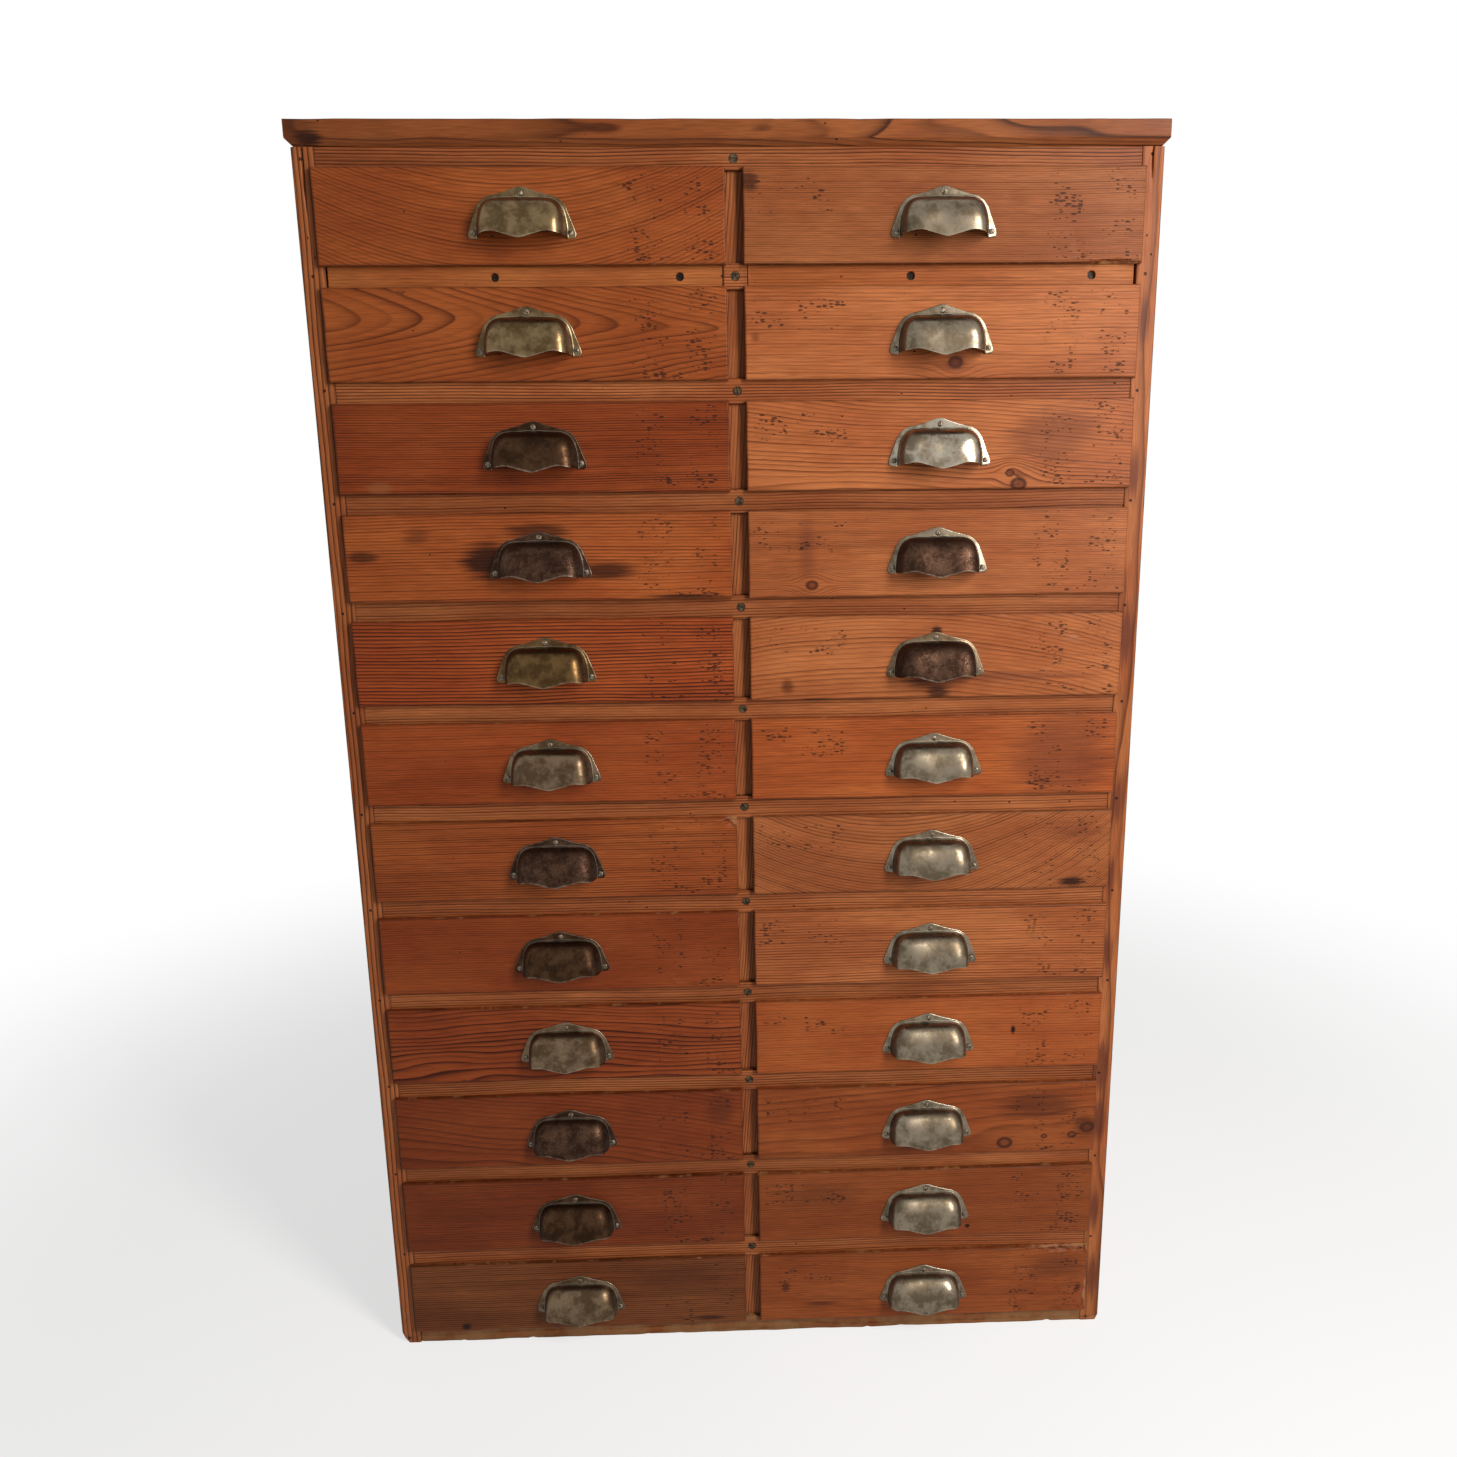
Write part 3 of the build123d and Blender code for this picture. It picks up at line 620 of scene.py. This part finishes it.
def muntinPieces(wood):
    # The short upright strips between the rails
    shape = Shape()
    for row, (low, high) in enumerate(sorted(boards("muntin_strips"), key=lambda box: -box[0].z)):
        shape.board = row * 1.0
        wornFace(shape, low, high, 100 + row, round=0.5, step=0.004, margin=4.0, reach=2.0)
    return fit(shape.build("muntins", [wood]), "muntin_strips", "carcass")


def basePiece(wood):
    low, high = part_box("base_board")
    shape = Shape()
    wornFace(shape, low, high, 120, round=1.6, uneven=1.0, step=0.005, margin=5.0, nicks=1.6)
    return fit(shape.build("base", [wood]), "base_board", "carcass")


drawer = {"lipDepth": 5.7, "boardDepth": 20.0, "sideThick": 9.0, "tails": 3, "tailLong": 9.0,
          "tailFlare": 2.0, "tailShare": 0.5, "round": 1.9, "uneven": 0.7, "step": 0.0045, "nicks": 1.0}


def drawerPiece(column, row, look, frontWood, boxWood):
    # A drawer: its lip as a worn face, and behind it the boards of the frame's own drawer
    node = f"drawer_{column}_{row:02d}"
    low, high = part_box(node)
    shape = Shape()
    seed = row * 7 + (3 if column == "right" else 0)
    wear = {key: drawer[key] for key in ("round", "uneven", "step", "nicks")}
    back = wornFace(shape, low, high, seed, low.y + drawer["lipDepth"] * mm, chips=look["chips"],
                    cracks=look["cracks"], **wear)
    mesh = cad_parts[node].data
    mesh.calc_loop_triangles()
    points = np.empty(len(mesh.vertices) * 3)
    mesh.vertices.foreach_get("co", points)
    corners = np.empty(len(mesh.loop_triangles) * 3, np.int32)
    mesh.loop_triangles.foreach_get("vertices", corners)
    triangles = points.reshape(-1, 3)[corners].reshape(-1, 3, 3)
    triangles = triangles[triangles.mean(1)[:, 1] > back + 0.02 * mm]
    middle = triangles.mean(1)
    boxLow, boxHigh = triangles.min((0, 1)), triangles.max((0, 1))
    boardBack = low.y + drawer["boardDepth"] * mm
    # The dovetails belong to the sides: they widen towards the front
    spacing = (boxHigh[2] - boxLow[2]) / drawer["tails"]
    share = (middle[:, 2] - boxLow[2]) / spacing
    off = np.abs(share - np.floor(share) - 0.5) * spacing
    flare = np.clip((boardBack - middle[:, 1]) / (drawer["tailLong"] * mm), 0, 1) * drawer["tailFlare"] * mm
    thick = drawer["sideThick"] * mm
    atSide = (middle[:, 0] < boxLow[0] + thick) | (middle[:, 0] > boxHigh[0] - thick)
    nearFront = middle[:, 1] > boardBack - (drawer["tailLong"] + 0.1) * mm
    tail = atSide & (off < spacing * drawer["tailShare"] / 2 + flare) & nearFront
    ofFront = (triangles[..., 1].max(1) < boardBack + 0.05 * mm) & ~tail
    for chosen, slot in ((ofFront, 0), (~ofFront, 1)):
        picked = triangles[chosen].reshape(-1, 3)
        shape.add(picked, np.arange(len(picked)).reshape(-1, 3), slot, 0.1)
    shape.cap(np.array([(boxLow[0], back, boxLow[2]), (boxHigh[0], back, boxLow[2]),
                        (boxHigh[0], back, boxHigh[2]), (boxLow[0], back, boxHigh[2])]))
    piece = shape.build(f"{column}Drawer{row:02d}", [frontWood, boxWood], weld=0.001, sharp=30, outward=False)
    return fit(piece, node, f"{column}_{row:02d}")


pull = {"tall": 46.3, "cupHalf": 42.0, "cupTall": 36.3, "project": 23.0, "wall": 1.2, "plate": 1.2,
        "bead": 0.55, "beadWide": 1.4, "rimEnd": 1.0, "rimArch": 3.2, "rimPoint": -2.6, "sidePower": 7.0,
        "topPower": 2.3, "frontPower": 2.15, "footScrew": (45.5, 5.6), "peakScrew": 40.5, "head": 2.8,
        "dome": 1.35, "uneven": 0.22}

# Right half of the plate's outline, from the peak to the foot
plateOutline = [(0, 46.3), (3.5, 45.9), (8.5, 44.1), (15, 41.9), (23, 39.7), (31.5, 37.7), (37.3, 34.3),
                (42.3, 27.8), (45.8, 18.5), (49.3, 9.5), (51.0, 4.2), (50.2, 1.6), (48.4, 0.3), (46.0, 0.0),
                (43.0, 0.0)]


def cupSurface(inset, seed, dents):
    # The cup. With u across it and t from the rim to the plate, A = 1 - |u|^side, and then
    # y = -depth * (sqrt(A) * cos t)^(2 / front), z = rim + rise * (sqrt(A) * sin t)^(2 / top).
    half, rise, depth = pull["cupHalf"] - inset, pull["cupTall"] - inset, pull["project"] - inset
    start = math.asin(0.80 ** (pull["sidePower"] / 2))
    turned = np.sin(np.linspace(start, math.pi / 2, 13)) ** (2 / pull["sidePower"])
    u = np.concatenate([np.linspace(0, 0.80, 15), turned[1:]])
    u = np.concatenate([-u[::-1], u[1:]])[None, :]
    t = np.linspace(0, math.pi / 2, 21)[:, None]
    reach = np.sqrt(np.clip(1 - np.abs(u) ** pull["sidePower"], 0, 1))
    # The rim: level at the ends, arched, then dipping to a soft point
    rim = pull["rimArch"] * np.exp(-((np.abs(u) - 0.62) / 0.26) ** 2)
    rim = rim + (pull["rimPoint"] - 0.3) * np.exp(-(np.abs(u) / 0.22) ** 1.6)
    rim = rim + pull["rimEnd"] * np.abs(u) ** 4
    x = half * u + 0 * t
    y = -depth * (reach * np.cos(t)) ** (2 / pull["frontPower"])
    z = rim + (rise - rim) * (reach * np.sin(t)) ** (2 / pull["topPower"])
    y = y + pull["uneven"] * waves(np.stack([x, z], -1), seed, 26.0) * np.clip(-y / depth, 0, 1)
    for dentX, dentZ, radius, deep in dents:
        dent = deep * np.exp(-((x - dentX) ** 2 + (z - dentZ) ** 2) / radius ** 2)
        y = y + dent * np.clip(-y / depth, 0, 1)
    return np.stack([x, np.clip(y, -pull["project"], 0.0), z], -1)


def plateGrid():
    # The plate: rays from a point above the feet run from the cup's outline to the plate's own, over a
    # raised bead beside the cup, and turn down round the outer edge to the wood
    centre = np.array([0.0, 6.0])
    stretches = ((-7.9, 32, 26), (33, 147, 64), (148, 187.9, 26))  # from and to in degrees, and how many rays
    angles = np.radians(np.concatenate([np.linspace(*stretch) for stretch in stretches]))
    corners = np.array(plateOutline, float)
    fine = np.linspace(0, len(corners) - 1, 120)
    right = np.stack([np.interp(fine, np.arange(len(corners)), corners[:, axis]) for axis in (0, 1)], -1)
    u = np.sin(np.linspace(0, 1, 200) * math.pi / 2) ** (2 / pull["sidePower"])
    rise = np.clip(1 - u ** pull["sidePower"], 0, 1) ** (1 / pull["topPower"])
    arch = np.stack([pull["cupHalf"] * u, pull["cupTall"] * rise], -1)
    arch = np.concatenate([arch, [(pull["cupHalf"], -0.5)]])
    radii = []
    for half in (arch, right):
        line = np.concatenate([half[::-1], (half * (-1, 1))[1:]]) - centre
        bearing = np.unwrap(np.arctan2(line[:, 1], line[:, 0]))
        order = np.argsort(bearing)
        radii.append(np.interp(angles, bearing[order], np.hypot(line[:, 0], line[:, 1])[order]))
    inside, gap = radii[0] - 0.3, radii[1] - radii[0] + 0.3
    wide, plate, bead = pull["beadWide"], pull["plate"], pull["bead"]
    onBead = [np.minimum(share * wide, gap * 0.55) for share in (0.0, 0.25, 0.5, 0.8, 1.15, 1.5)]
    across = np.stack(onBead + [np.maximum(gap - 1.1, onBead[-1]), gap - 0.45, gap - 0.1, gap, gap])
    rises = [0.0, 0.45 * bead, bead, bead, 0.35 * bead, 0.0, 0.0, -0.15, -0.5, -0.8, -plate]
    heights = np.array(rises) + plate
    # Edge values across the plate: rubbed metal with a painted highlight on the bead and round the outer turn
    wearAndLight = np.array([0.4, 0.6, 0.8, 0.75, 0.0, -0.05, 0.25, 0.65, 0.7, 0.3, 0.0])
    flat = centre + np.stack([np.cos(angles), np.sin(angles)], -1) * (inside + across)[..., None]
    y = np.broadcast_to(-heights[:, None], flat.shape[:2])
    return np.stack([flat[..., 0], y, np.maximum(flat[..., 1], 0.0)], -1), wearAndLight[:, None] + 0 * flat[..., 0]


def screwHead(shape, x, y, z, turn, slot):
    # A domed head in two halves, each a grid from its straight side out to the round, over a slot's floor
    radius, dome, half = pull["head"], pull["dome"], 0.42
    a = np.sin(np.linspace(math.asin(half / radius), math.pi / 2, 7))[:, None] * radius + np.zeros(11)
    b = np.linspace(-1, 1, 11) * np.sqrt(np.maximum(radius ** 2 - a ** 2, 0))
    height = 0.25 + (dome - 0.25) * np.sqrt(np.clip(1 - (a * a + b * b) / radius ** 2, 0, 1))

    def put(grid):
        # From (along, across, height) on the head to the pull's own axes
        c, s = math.cos(turn), math.sin(turn)
        along, across, up = grid[..., 0], grid[..., 1], grid[..., 2]
        return np.stack([x + along * c - across * s, y - up, z + along * s + across * c], -1)

    for sign in (1, -1):
        top = np.stack([a * sign, b, height], -1)
        shape.grid(put(top), slot, 0.2)
        shape.grid(put(np.stack([top[0], top[0] * (1, 1, 0) + (0, 0, dome - 0.8)])), slot)
        for end in (0, -1):
            shape.grid(put(np.stack([top[:, end], top[:, end] * (1, 1, 0)])), slot)
    ring = np.linspace(0, 2 * math.pi, 21)
    floor = np.stack([radius * np.cos(ring), radius * np.sin(ring), np.full(21, dome - 0.8)], -1)
    shape.cap(put(floor[:-1]), slot, -0.8)
    shape.grid(put(np.stack([floor, floor * (1, 1, 0)])), slot)


def pullPiece(column, row, look, finish, plateFinish, steel):
    # One pull: plate, cup and three screws, set level on its front, the screws' slots turned at random
    node = f"pull_{column}_{row:02d}"
    low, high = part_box(node)
    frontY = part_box(f"drawer_{column}_{row:02d}")[0].y
    seed = row * 13 + (7 if column == "right" else 0)
    shape = Shape()
    outer, inner = (cupSurface(inset, seed, look["dents"]) for inset in (0.0, pull["wall"]))
    level = np.arange(len(outer))[:, None]
    # Edge values on the cup: rubbed metal with a painted highlight at the rim and beside the plate, painted
    # shade at both ends, and dark inside
    ends = np.clip(np.abs(outer[..., 0]) / pull["cupHalf"] - 0.80, 0, 0.2) * 3.5
    cupWearAndLight = np.clip(1.0 - level, 0, 1) * 0.7 - ends + np.clip((level - 16) / 3, 0, 1) * (0.8 + ends)
    shape.grid(outer, 0, cupWearAndLight)
    shape.grid(inner, 0, -0.7)
    shape.grid(np.stack([inner[0], outer[0]]), 0, 0.8)
    for end in (0, -1):
        shape.grid(np.stack([inner[:, end], outer[:, end]]))
    plate, wearAndLight = plateGrid()
    shape.grid(plate, 2, wearAndLight)
    foot = plate[0] * (1, 0, 1)
    shape.grid(np.stack([foot, plate[0]]), 2)
    shape.grid(np.stack([plate[-1], foot]), 2)
    for end in (0, -1):
        shape.cap(np.concatenate([plate[:, end], foot[end][None]]), 2)
    rng = np.random.default_rng(seed)
    screwX, screwZ = pull["footScrew"]
    for x, z in ((-screwX, screwZ), (0.0, pull["peakScrew"]), (screwX, screwZ)):
        screwHead(shape, x, -pull["plate"], z, rng.uniform(0, math.pi), 1)
    seat = ((low.x + high.x) / 2, frontY, high.z - pull["tall"] * mm)
    for points in shape.points:
        points *= mm
        points += seat
    piece = shape.build(f"{column}Pull{row:02d}", [finish, steel, plateFinish], sharp=50)
    slot = "dark_pull" if look["metal"] in ("dark", "rust") else "nickel_pull"
    return fit(piece, node, f"{column}_{row:02d}")


# Windows full of dark dashes, in mm from a front's middle: start, end, low, high, strength
marksRight = ((98, 134, -34, 36, 1.1), (152, 182, -34, 36, 1.1))
marksEnds = ((106, 186, -41, -34, 1.6), (106, 186, 36, 41, 0.8))
marksLeft = ((-186, -150, 2, 34, 1.15), (-142, -92, 2, 34, 1.15))
leftInk = marksRight + marksEnds
rightInk = leftInk + marksLeft


def drawerLook(metal, tone, shade, pith, spacing, lines, plate=None, dents=(), chips=(), cracks=(), **wood):
    # One drawer's choices. The pull's plate has the cup's metal unless it is given another.
    wood = {"tone": tone, "shade": shade, "pith": pith, "spacing": spacing, "lines": lines, **wood}
    return {"metal": metal, "plate": plate or metal, "dents": dents, "chips": chips, "cracks": cracks,
            "wood": wood}


# The third value, shade, scales a front's brightness: partly the wood's own tone, partly painted light,
# higher on the left column's middle rows and lower on most bottom rows where less light falls
drawerLooks = {
    ("left", 1): drawerLook(
        "olive", "orange", 0.86, (60, -150), 3.2, 0.75, bow=46, bowAt=-10, warp=14,
        dents=((27, 20, 6, 0.9),)),
    ("left", 2): drawerLook(
        "olive", "orange", 0.87, (26, 10), 4.2, 0.7, taper=0.22, warp=26, tilt=(0.10, 0.06),
        chips=((75, 82, 3, 3.5, 0.7), (102, 74, 2, 2, 0.4))),
    ("left", 3): drawerLook(
        "dark", "red", 0.98, (60, 300), 2.2, 1.1, warp=6, stains=((-152, -37, 12, 6, 0.35, straw),)),
    ("left", 4): drawerLook(
        "rust", "orange", 1.02, (60, -220), 3.0, 0.8,
        stains=((-52, -4, 26, 20, 0.9, inkBlack), (66, -14, 34, 10, 0.8, inkBlack),
                (0, 26, 30, 7, 0.7, inkBlack),
                (-120, 22, 16, 9, 0.5, umber), (-175, 2, 16, 6, 0.7, inkBlack),
                (146, -40, 48, 3, 0.9, inkBlack))),
    ("left", 5): drawerLook("brass", "red", 1.18, (80, -280), 3.4, 1.4, warp=12),
    ("left", 6): drawerLook(
        "dim", "red", 1.12, (60, 170), 2.6, 0.6, dents=((-12, 20, 11, 1.1), (14, 9, 9, 0.8))),
    ("left", 7): drawerLook(
        "rust", "orange", 1.06, (60, -240), 2.5, 1.1, warp=7, chips=((381, 84, 12, 7, 5.0),)),
    ("left", 8): drawerLook("dark", "red", 0.95, (60, 200), 2.4, 0.55),
    ("left", 9): drawerLook("dim", "red", 0.90, (38, -58), 4.4, 1.15, taper=0.02, tilt=(0.05, 0.02), warp=44),
    ("left", 10): drawerLook(
        "rust", "red", 0.76, (60, -70), 4.4, 0.55, slant=-8, warp=20,
        stains=((168, 20, 20, 22, 0.5, umber),)),
    ("left", 11): drawerLook("dark", "red", 0.74, (60, -260), 2.8, 0.6),
    ("left", 12): drawerLook(
        "dim", "brown", 0.90, (60, -240), 2.6, 1.0,
        stains=((-133, -38, 7, 6, 0.9, inkBlack), (120, 16, 60, 18, 0.45, umber),
                (150, -36, 20, 5, 0.7, inkBlack))),
    ("right", 1): drawerLook(
        "nickel", "honey", 0.90, (50, 240), 1.9, 0.8, stains=((-186, 30, 9, 8, 0.7, inkBlack),),
        cracks=((((297, 58), (305, 50), (317, 40), (316, 26), (320, 14), (326, 3)), 0.5, 1.6),
                (((250, 60), (282, 57)), 0.5, 0.9)), chips=((356, 0.0, 24, 3.2, 4.6),)),
    ("right", 2): drawerLook(
        "nickel", "honey", 1.16, (60, 180), 3.2, 0.6, knots=((13, -28, 7.5),),
        stains=((13, -28, 13, 11, 0.6, plum), (-182, -4, 6, 6, 0.5, umber))),
    ("right", 3): drawerLook(
        "bright", "honey", 1.05, (30, -70), 3.6, 0.85, tilt=(0.06, 0.10), warp=18,
        knots=((70, -28, 4.0), (79, -39, 7.0)), stains=((110, 6, 46, 26, 0.5, plum),),
        dents=((30, 17, 8.0, 1.8), (-20, 18, 8.0, 0.9))),
    ("right", 4): drawerLook(
        "rust", "honey", 1.16, (50, -260), 1.8, 0.8, plate="nickel", knots=((-128, -31, 6.5),),
        stains=((-133, 10, 15, 50, 0.5, plum),)),
    ("right", 5): drawerLook(
        "rust", "honey", 1.02, (90, -110), 3.6, 0.75, plate="dim", bow=-22, bowAt=-60, warp=16,
        stains=((-4, -26, 30, 8, 0.8, umber), (2, -38, 14, 10, 0.8, inkBlack), (60, -22, 110, 6, 0.5, plum),
                (-154, -28, 8, 9, 0.7, umber), (0, 27, 6, 5, 0.9, inkBlack),
                (-124, -43, 20, 2, 0.8, inkBlack)),
        cracks=((((263, 86), (265, 80), (269, 70), (281, 68), (305, 62), (345, 64)), 0.5, 1.8),)),
    ("right", 6): drawerLook(
        "nickel", "orange", 1.05, (60, -170), 2.8, 0.5, stains=((132, 4, 62, 60, 0.55, plum),)),
    ("right", 7): drawerLook(
        "nickel", "honey", 0.95, (70, 90), 2.8, 0.9, bow=60, bowAt=-40, warp=12,
        stains=((152, -36, 16, 6, 0.9, inkBlack), (150, 20, 40, 16, 0.35, plum))),
    ("right", 8): drawerLook("nickel", "honey", 1.05, (60, -260), 3.0, 1.0),
    ("right", 9): drawerLook(
        "nickel", "orange", 0.98, (80, 220), 3.0, 0.5, stains=((94, 3, 3, 6, 1.0, inkBlack),)),
    ("right", 10): drawerLook(
        "nickel", "orange", 0.88, (120, -40), 3.8, 0.5, slant=4,
        knots=((89, -31, 8.5), (134, -24, 3.5), (166, -23, 5.0), (183, -14, 8.0)),
        stains=((130, 14, 50, 18, 0.6, umber), (182, -12, 16, 16, 0.6, umber))),
    ("right", 11): drawerLook(
        "nickel", "orange", 0.78, (60, -240), 2.6, 0.6,
        stains=((49, -31, 3, 2.5, 1.0, inkBlack), (-120, 14, 60, 20, 0.4, umber))),
    ("right", 12): drawerLook(
        "nickel", "orange", 0.80, (60, 160), 3.0, 0.5, warp=30,
        stains=((182, -12, 5, 8, 0.9, umber), (-162, 2, 5, 7, 0.8, umber), (-120, -22, 22, 3, 0.7, umber),
                (150, 20, 40, 18, 0.5, umber)), chips=((384, 24, 5, 20, 2.0), (392, 88, 74, 9, 5.2))),
}

nailRow = (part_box("repair_strips")[0].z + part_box("repair_strips")[1].z) / 2 / mm
steel = screwSteel("pullScrewSteel", colour(66, 52, 40), colour(136, 124, 106))
railSteel = screwSteel("railScrewSteel", colour(34, 24, 17), colour(84, 68, 48))
boxWood = pine("drawerBoxPine", grain="y", seed=4, tone="dry", pith=(200, -180), lines=0.5, spots=0.05,
               rough=0.62)
frameMiddle = (0, framePlane, 0)
sideHalf = 0.0105
sideNails = (nailRow, rowPitch / mm)
foxed = (60, 150, 262, 330, 470, 560, 640, 820, 980, 1130)  # heights of the right side's dull stains
sideWoods = {
    "left": pine("leftSidePine", (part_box("side_left")[0].x + sideHalf, 0, 0), grain="z", seed=33,
                 tone="honey", shade=1.05, pith=(12, 130), spacing=2.7, lines=1.15, warp=5, spots=0.25,
                 edges=0.8, nails=(*sideNails, -1.5)),
    "right": pine("rightSidePine", (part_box("side_right")[1].x - sideHalf, 0, 0), grain="z", seed=36,
                  tone="honey", shade=0.95, pith=(12, -70), spacing=4.5, lines=0.9, warp=18, spots=0.5,
                  edges=0.8, nails=(*sideNails, -2.0),
                  stains=tuple((z, -3 + z % 7, 30, 8, 0.75, plum) for z in foxed)),
}
topWood = pine("topPine", (0, 0, sideTop), grain="x", seed=21, tone="brown", shade=1.1, pith=(26, 2),
               tilt=(0.03, 0.02), taper=0.05, spacing=3.0, lines=0.9, warp=30, spots=0.2,
               stains=((-392, 7, 13, 6, 0.9, inkBlack), (-402, 12, 20, 16, 0.5, umber)))
railWood = pine("railPine", frameMiddle, grain="x", seed=12, tone="honey", shade=0.98, pith=(60, 1500),
                spacing=2.9, lines=1.3, warp=9, spots=0.15, edges=0.8)
stripWood = pine("stripPine", frameMiddle, grain="x", seed=15, tone="yellow", pith=(160, 100), spacing=3.0,
                 lines=0.5, spots=0.05, edges=0.5)
muntinWood = pine("muntinPine", frameMiddle, grain="z", seed=19, tone="honey", shade=1.0, pith=(100, 30),
                  spacing=3.0, lines=1.0, spots=0.2, slant=5, edges=0.8)
baseWood = pine("basePine", frameMiddle, grain="x", seed=27, tone="brown", shade=0.9, pith=(200, 60),
                lines=0.6, dust=0.7, spots=0.5, rough=0.6)
innerWood = pine("innerPine", grain="y", seed=41, tone="dry", shade=0.9, pith=(200, 100), lines=0.6,
                 spots=0.2, edges=0.0, rough=0.65)
backWood = pine("backPine", grain="z", seed=44, tone="brown", shade=1.1, pith=(80, 30), spacing=4.0,
                lines=0.8, spots=0.4, edges=0.0, boards=("x", 160.2),
                knots=((420, -60, 9.0), (900, 130, 7.0), (180, 300, 8.0)), rough=0.62)
print("materials made")

keptLooks = {"drawer_runners": innerWood, "top_battens": innerWood, "centre_partition": innerWood,
             "back_boards": backWood, "rail_screws": railSteel}
for node, material in keptLooks.items():
    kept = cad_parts[node].data.materials
    kept.clear()
    kept.append(material)
for hand, wood in sideWoods.items():
    sideBoard(hand, wood)
topBoard(topWood)
railPieces(railWood)
stripPieces(stripWood)
muntinPieces(muntinWood)
basePiece(baseWood)
print("carcass made")

finishes = {name: metal(f"{name}Metal", **look) for name, look in metalLooks.items()}
for (column, row), look in drawerLooks.items():
    low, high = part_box(f"drawer_{column}_{row:02d}")
    middle = ((low.x + high.x) / 2, low.y, (low.z + high.z) / 2)
    ink = {"inked": leftInk if column == "left" else rightInk, "spots": 0.35}
    seed = row * 5 + (2 if column == "right" else 0)
    frontWood = pine(f"{column}Front{row:02d}", middle, seed=seed, **{**ink, **look["wood"]})
    drawerPiece(column, row, look, frontWood, boxWood)
    pullPiece(column, row, look, finishes[look["metal"]], finishes[look["plate"]], steel)
print("drawers and pulls made")


# The photograph: its side and the lens's focal length, in pixels, and where the lens looks in it
photo = {"side": 1457, "focal": 1100.0, "centre": 778.2}
camera = {"place": (0.0012, -1.3037, 0.9679), "pitch": 0.2105, "yaw": -0.03159, "roll": -0.01064}


def addCamera():
    # It looks along +Y, turned by yaw, then pitch, then roll
    lens = bpy.data.cameras.new("view")
    lens.sensor_width = 36.0
    lens.lens = lens.sensor_width * photo["focal"] / photo["side"]
    lens.shift_x = (photo["side"] / 2 - photo["centre"]) / photo["side"]
    eye = bpy.data.objects.new("view", lens)
    bpy.context.scene.collection.objects.link(eye)
    roll, pitch, yaw = [Matrix.Rotation(camera[name], 3, axis)
                        for name, axis in (("roll", "Z"), ("pitch", "X"), ("yaw", "Y"))]
    right, down, ahead = roll @ pitch @ yaw @ Matrix(((1, 0, 0), (0, 0, -1), (0, 1, 0)))
    facing = Matrix((right, -down, -ahead)).transposed().to_4x4()
    eye.matrix_world = Matrix.Translation(camera["place"]) @ facing
    bpy.context.scene.camera = eye


keyLamp = {"place": (1.2, -1.55, 1.5), "target": (0.0, -0.18, 0.70), "size": (0.48, 1.5), "power": 51.0,
           "tint": (1.0, 0.975, 0.94)}


def addLamp(name, place, target, size, power, tint):
    light = bpy.data.lights.new(name, "AREA")
    light.shape = "RECTANGLE"
    light.size, light.size_y = size
    light.energy = power
    light.color = tint
    lamp = bpy.data.objects.new(name, light)
    lamp.location = place
    lamp.rotation_euler = (Vector(target) - Vector(place)).to_track_quat("-Z", "Y").to_euler()
    bpy.context.scene.collection.objects.link(lamp)


studio = {"ambient": 0.20, "floorWhite": 0.66, "whiteFrom": 0.75, "whiteTo": 1.9}


def addWorld():
    world = bpy.data.worlds.new("studio")
    bpy.context.scene.world = world
    paint = Paint(world)
    level = paint.raysThatSee() * (1 - studio["ambient"]) + studio["ambient"]
    background = paint.node("ShaderNodeBackground", {}, {"Color": (1, 1, 1, 1), "Strength": level})
    paint.end("ShaderNodeOutputWorld", background.out(0))


def addFloor():
    # White for the rays that see it, and wholly white away from the object, where no shadow falls
    paint = Paint(bpy.data.materials.new("paleFloor"))
    x, y = paint.split(paint.place())[:2]
    away = (x * x + y * y).math("SQRT").ramp(studio["whiteFrom"], studio["whiteTo"])
    white = paint.raysThatSee() * (away * (1 - studio["floorWhite"]) + studio["floorWhite"])
    cloth = paint.node("ShaderNodeBsdfDiffuse", {}, {"Color": (0.93, 0.93, 0.93, 1)})
    glow = paint.node("ShaderNodeEmission", {}, {"Color": (1, 1, 1, 1), "Strength": 1.0})
    both = paint.node("ShaderNodeMixShader", {}, {0: white, 1: cloth.out(0), 2: glow.out(0)})
    shape = Shape()
    shape.add([(-8, -8, 0), (8, -8, 0), (8, 8, 0), (-8, 8, 0)], [[0, 1, 2, 3]])
    shape.build("floor", [paint.end("ShaderNodeOutputMaterial", both.out(0))])


bpy.context.scene.view_settings.view_transform = "Standard"
addWorld()
addFloor()
addLamp("key", **keyLamp)
addCamera()
print("floor, lights and camera made")
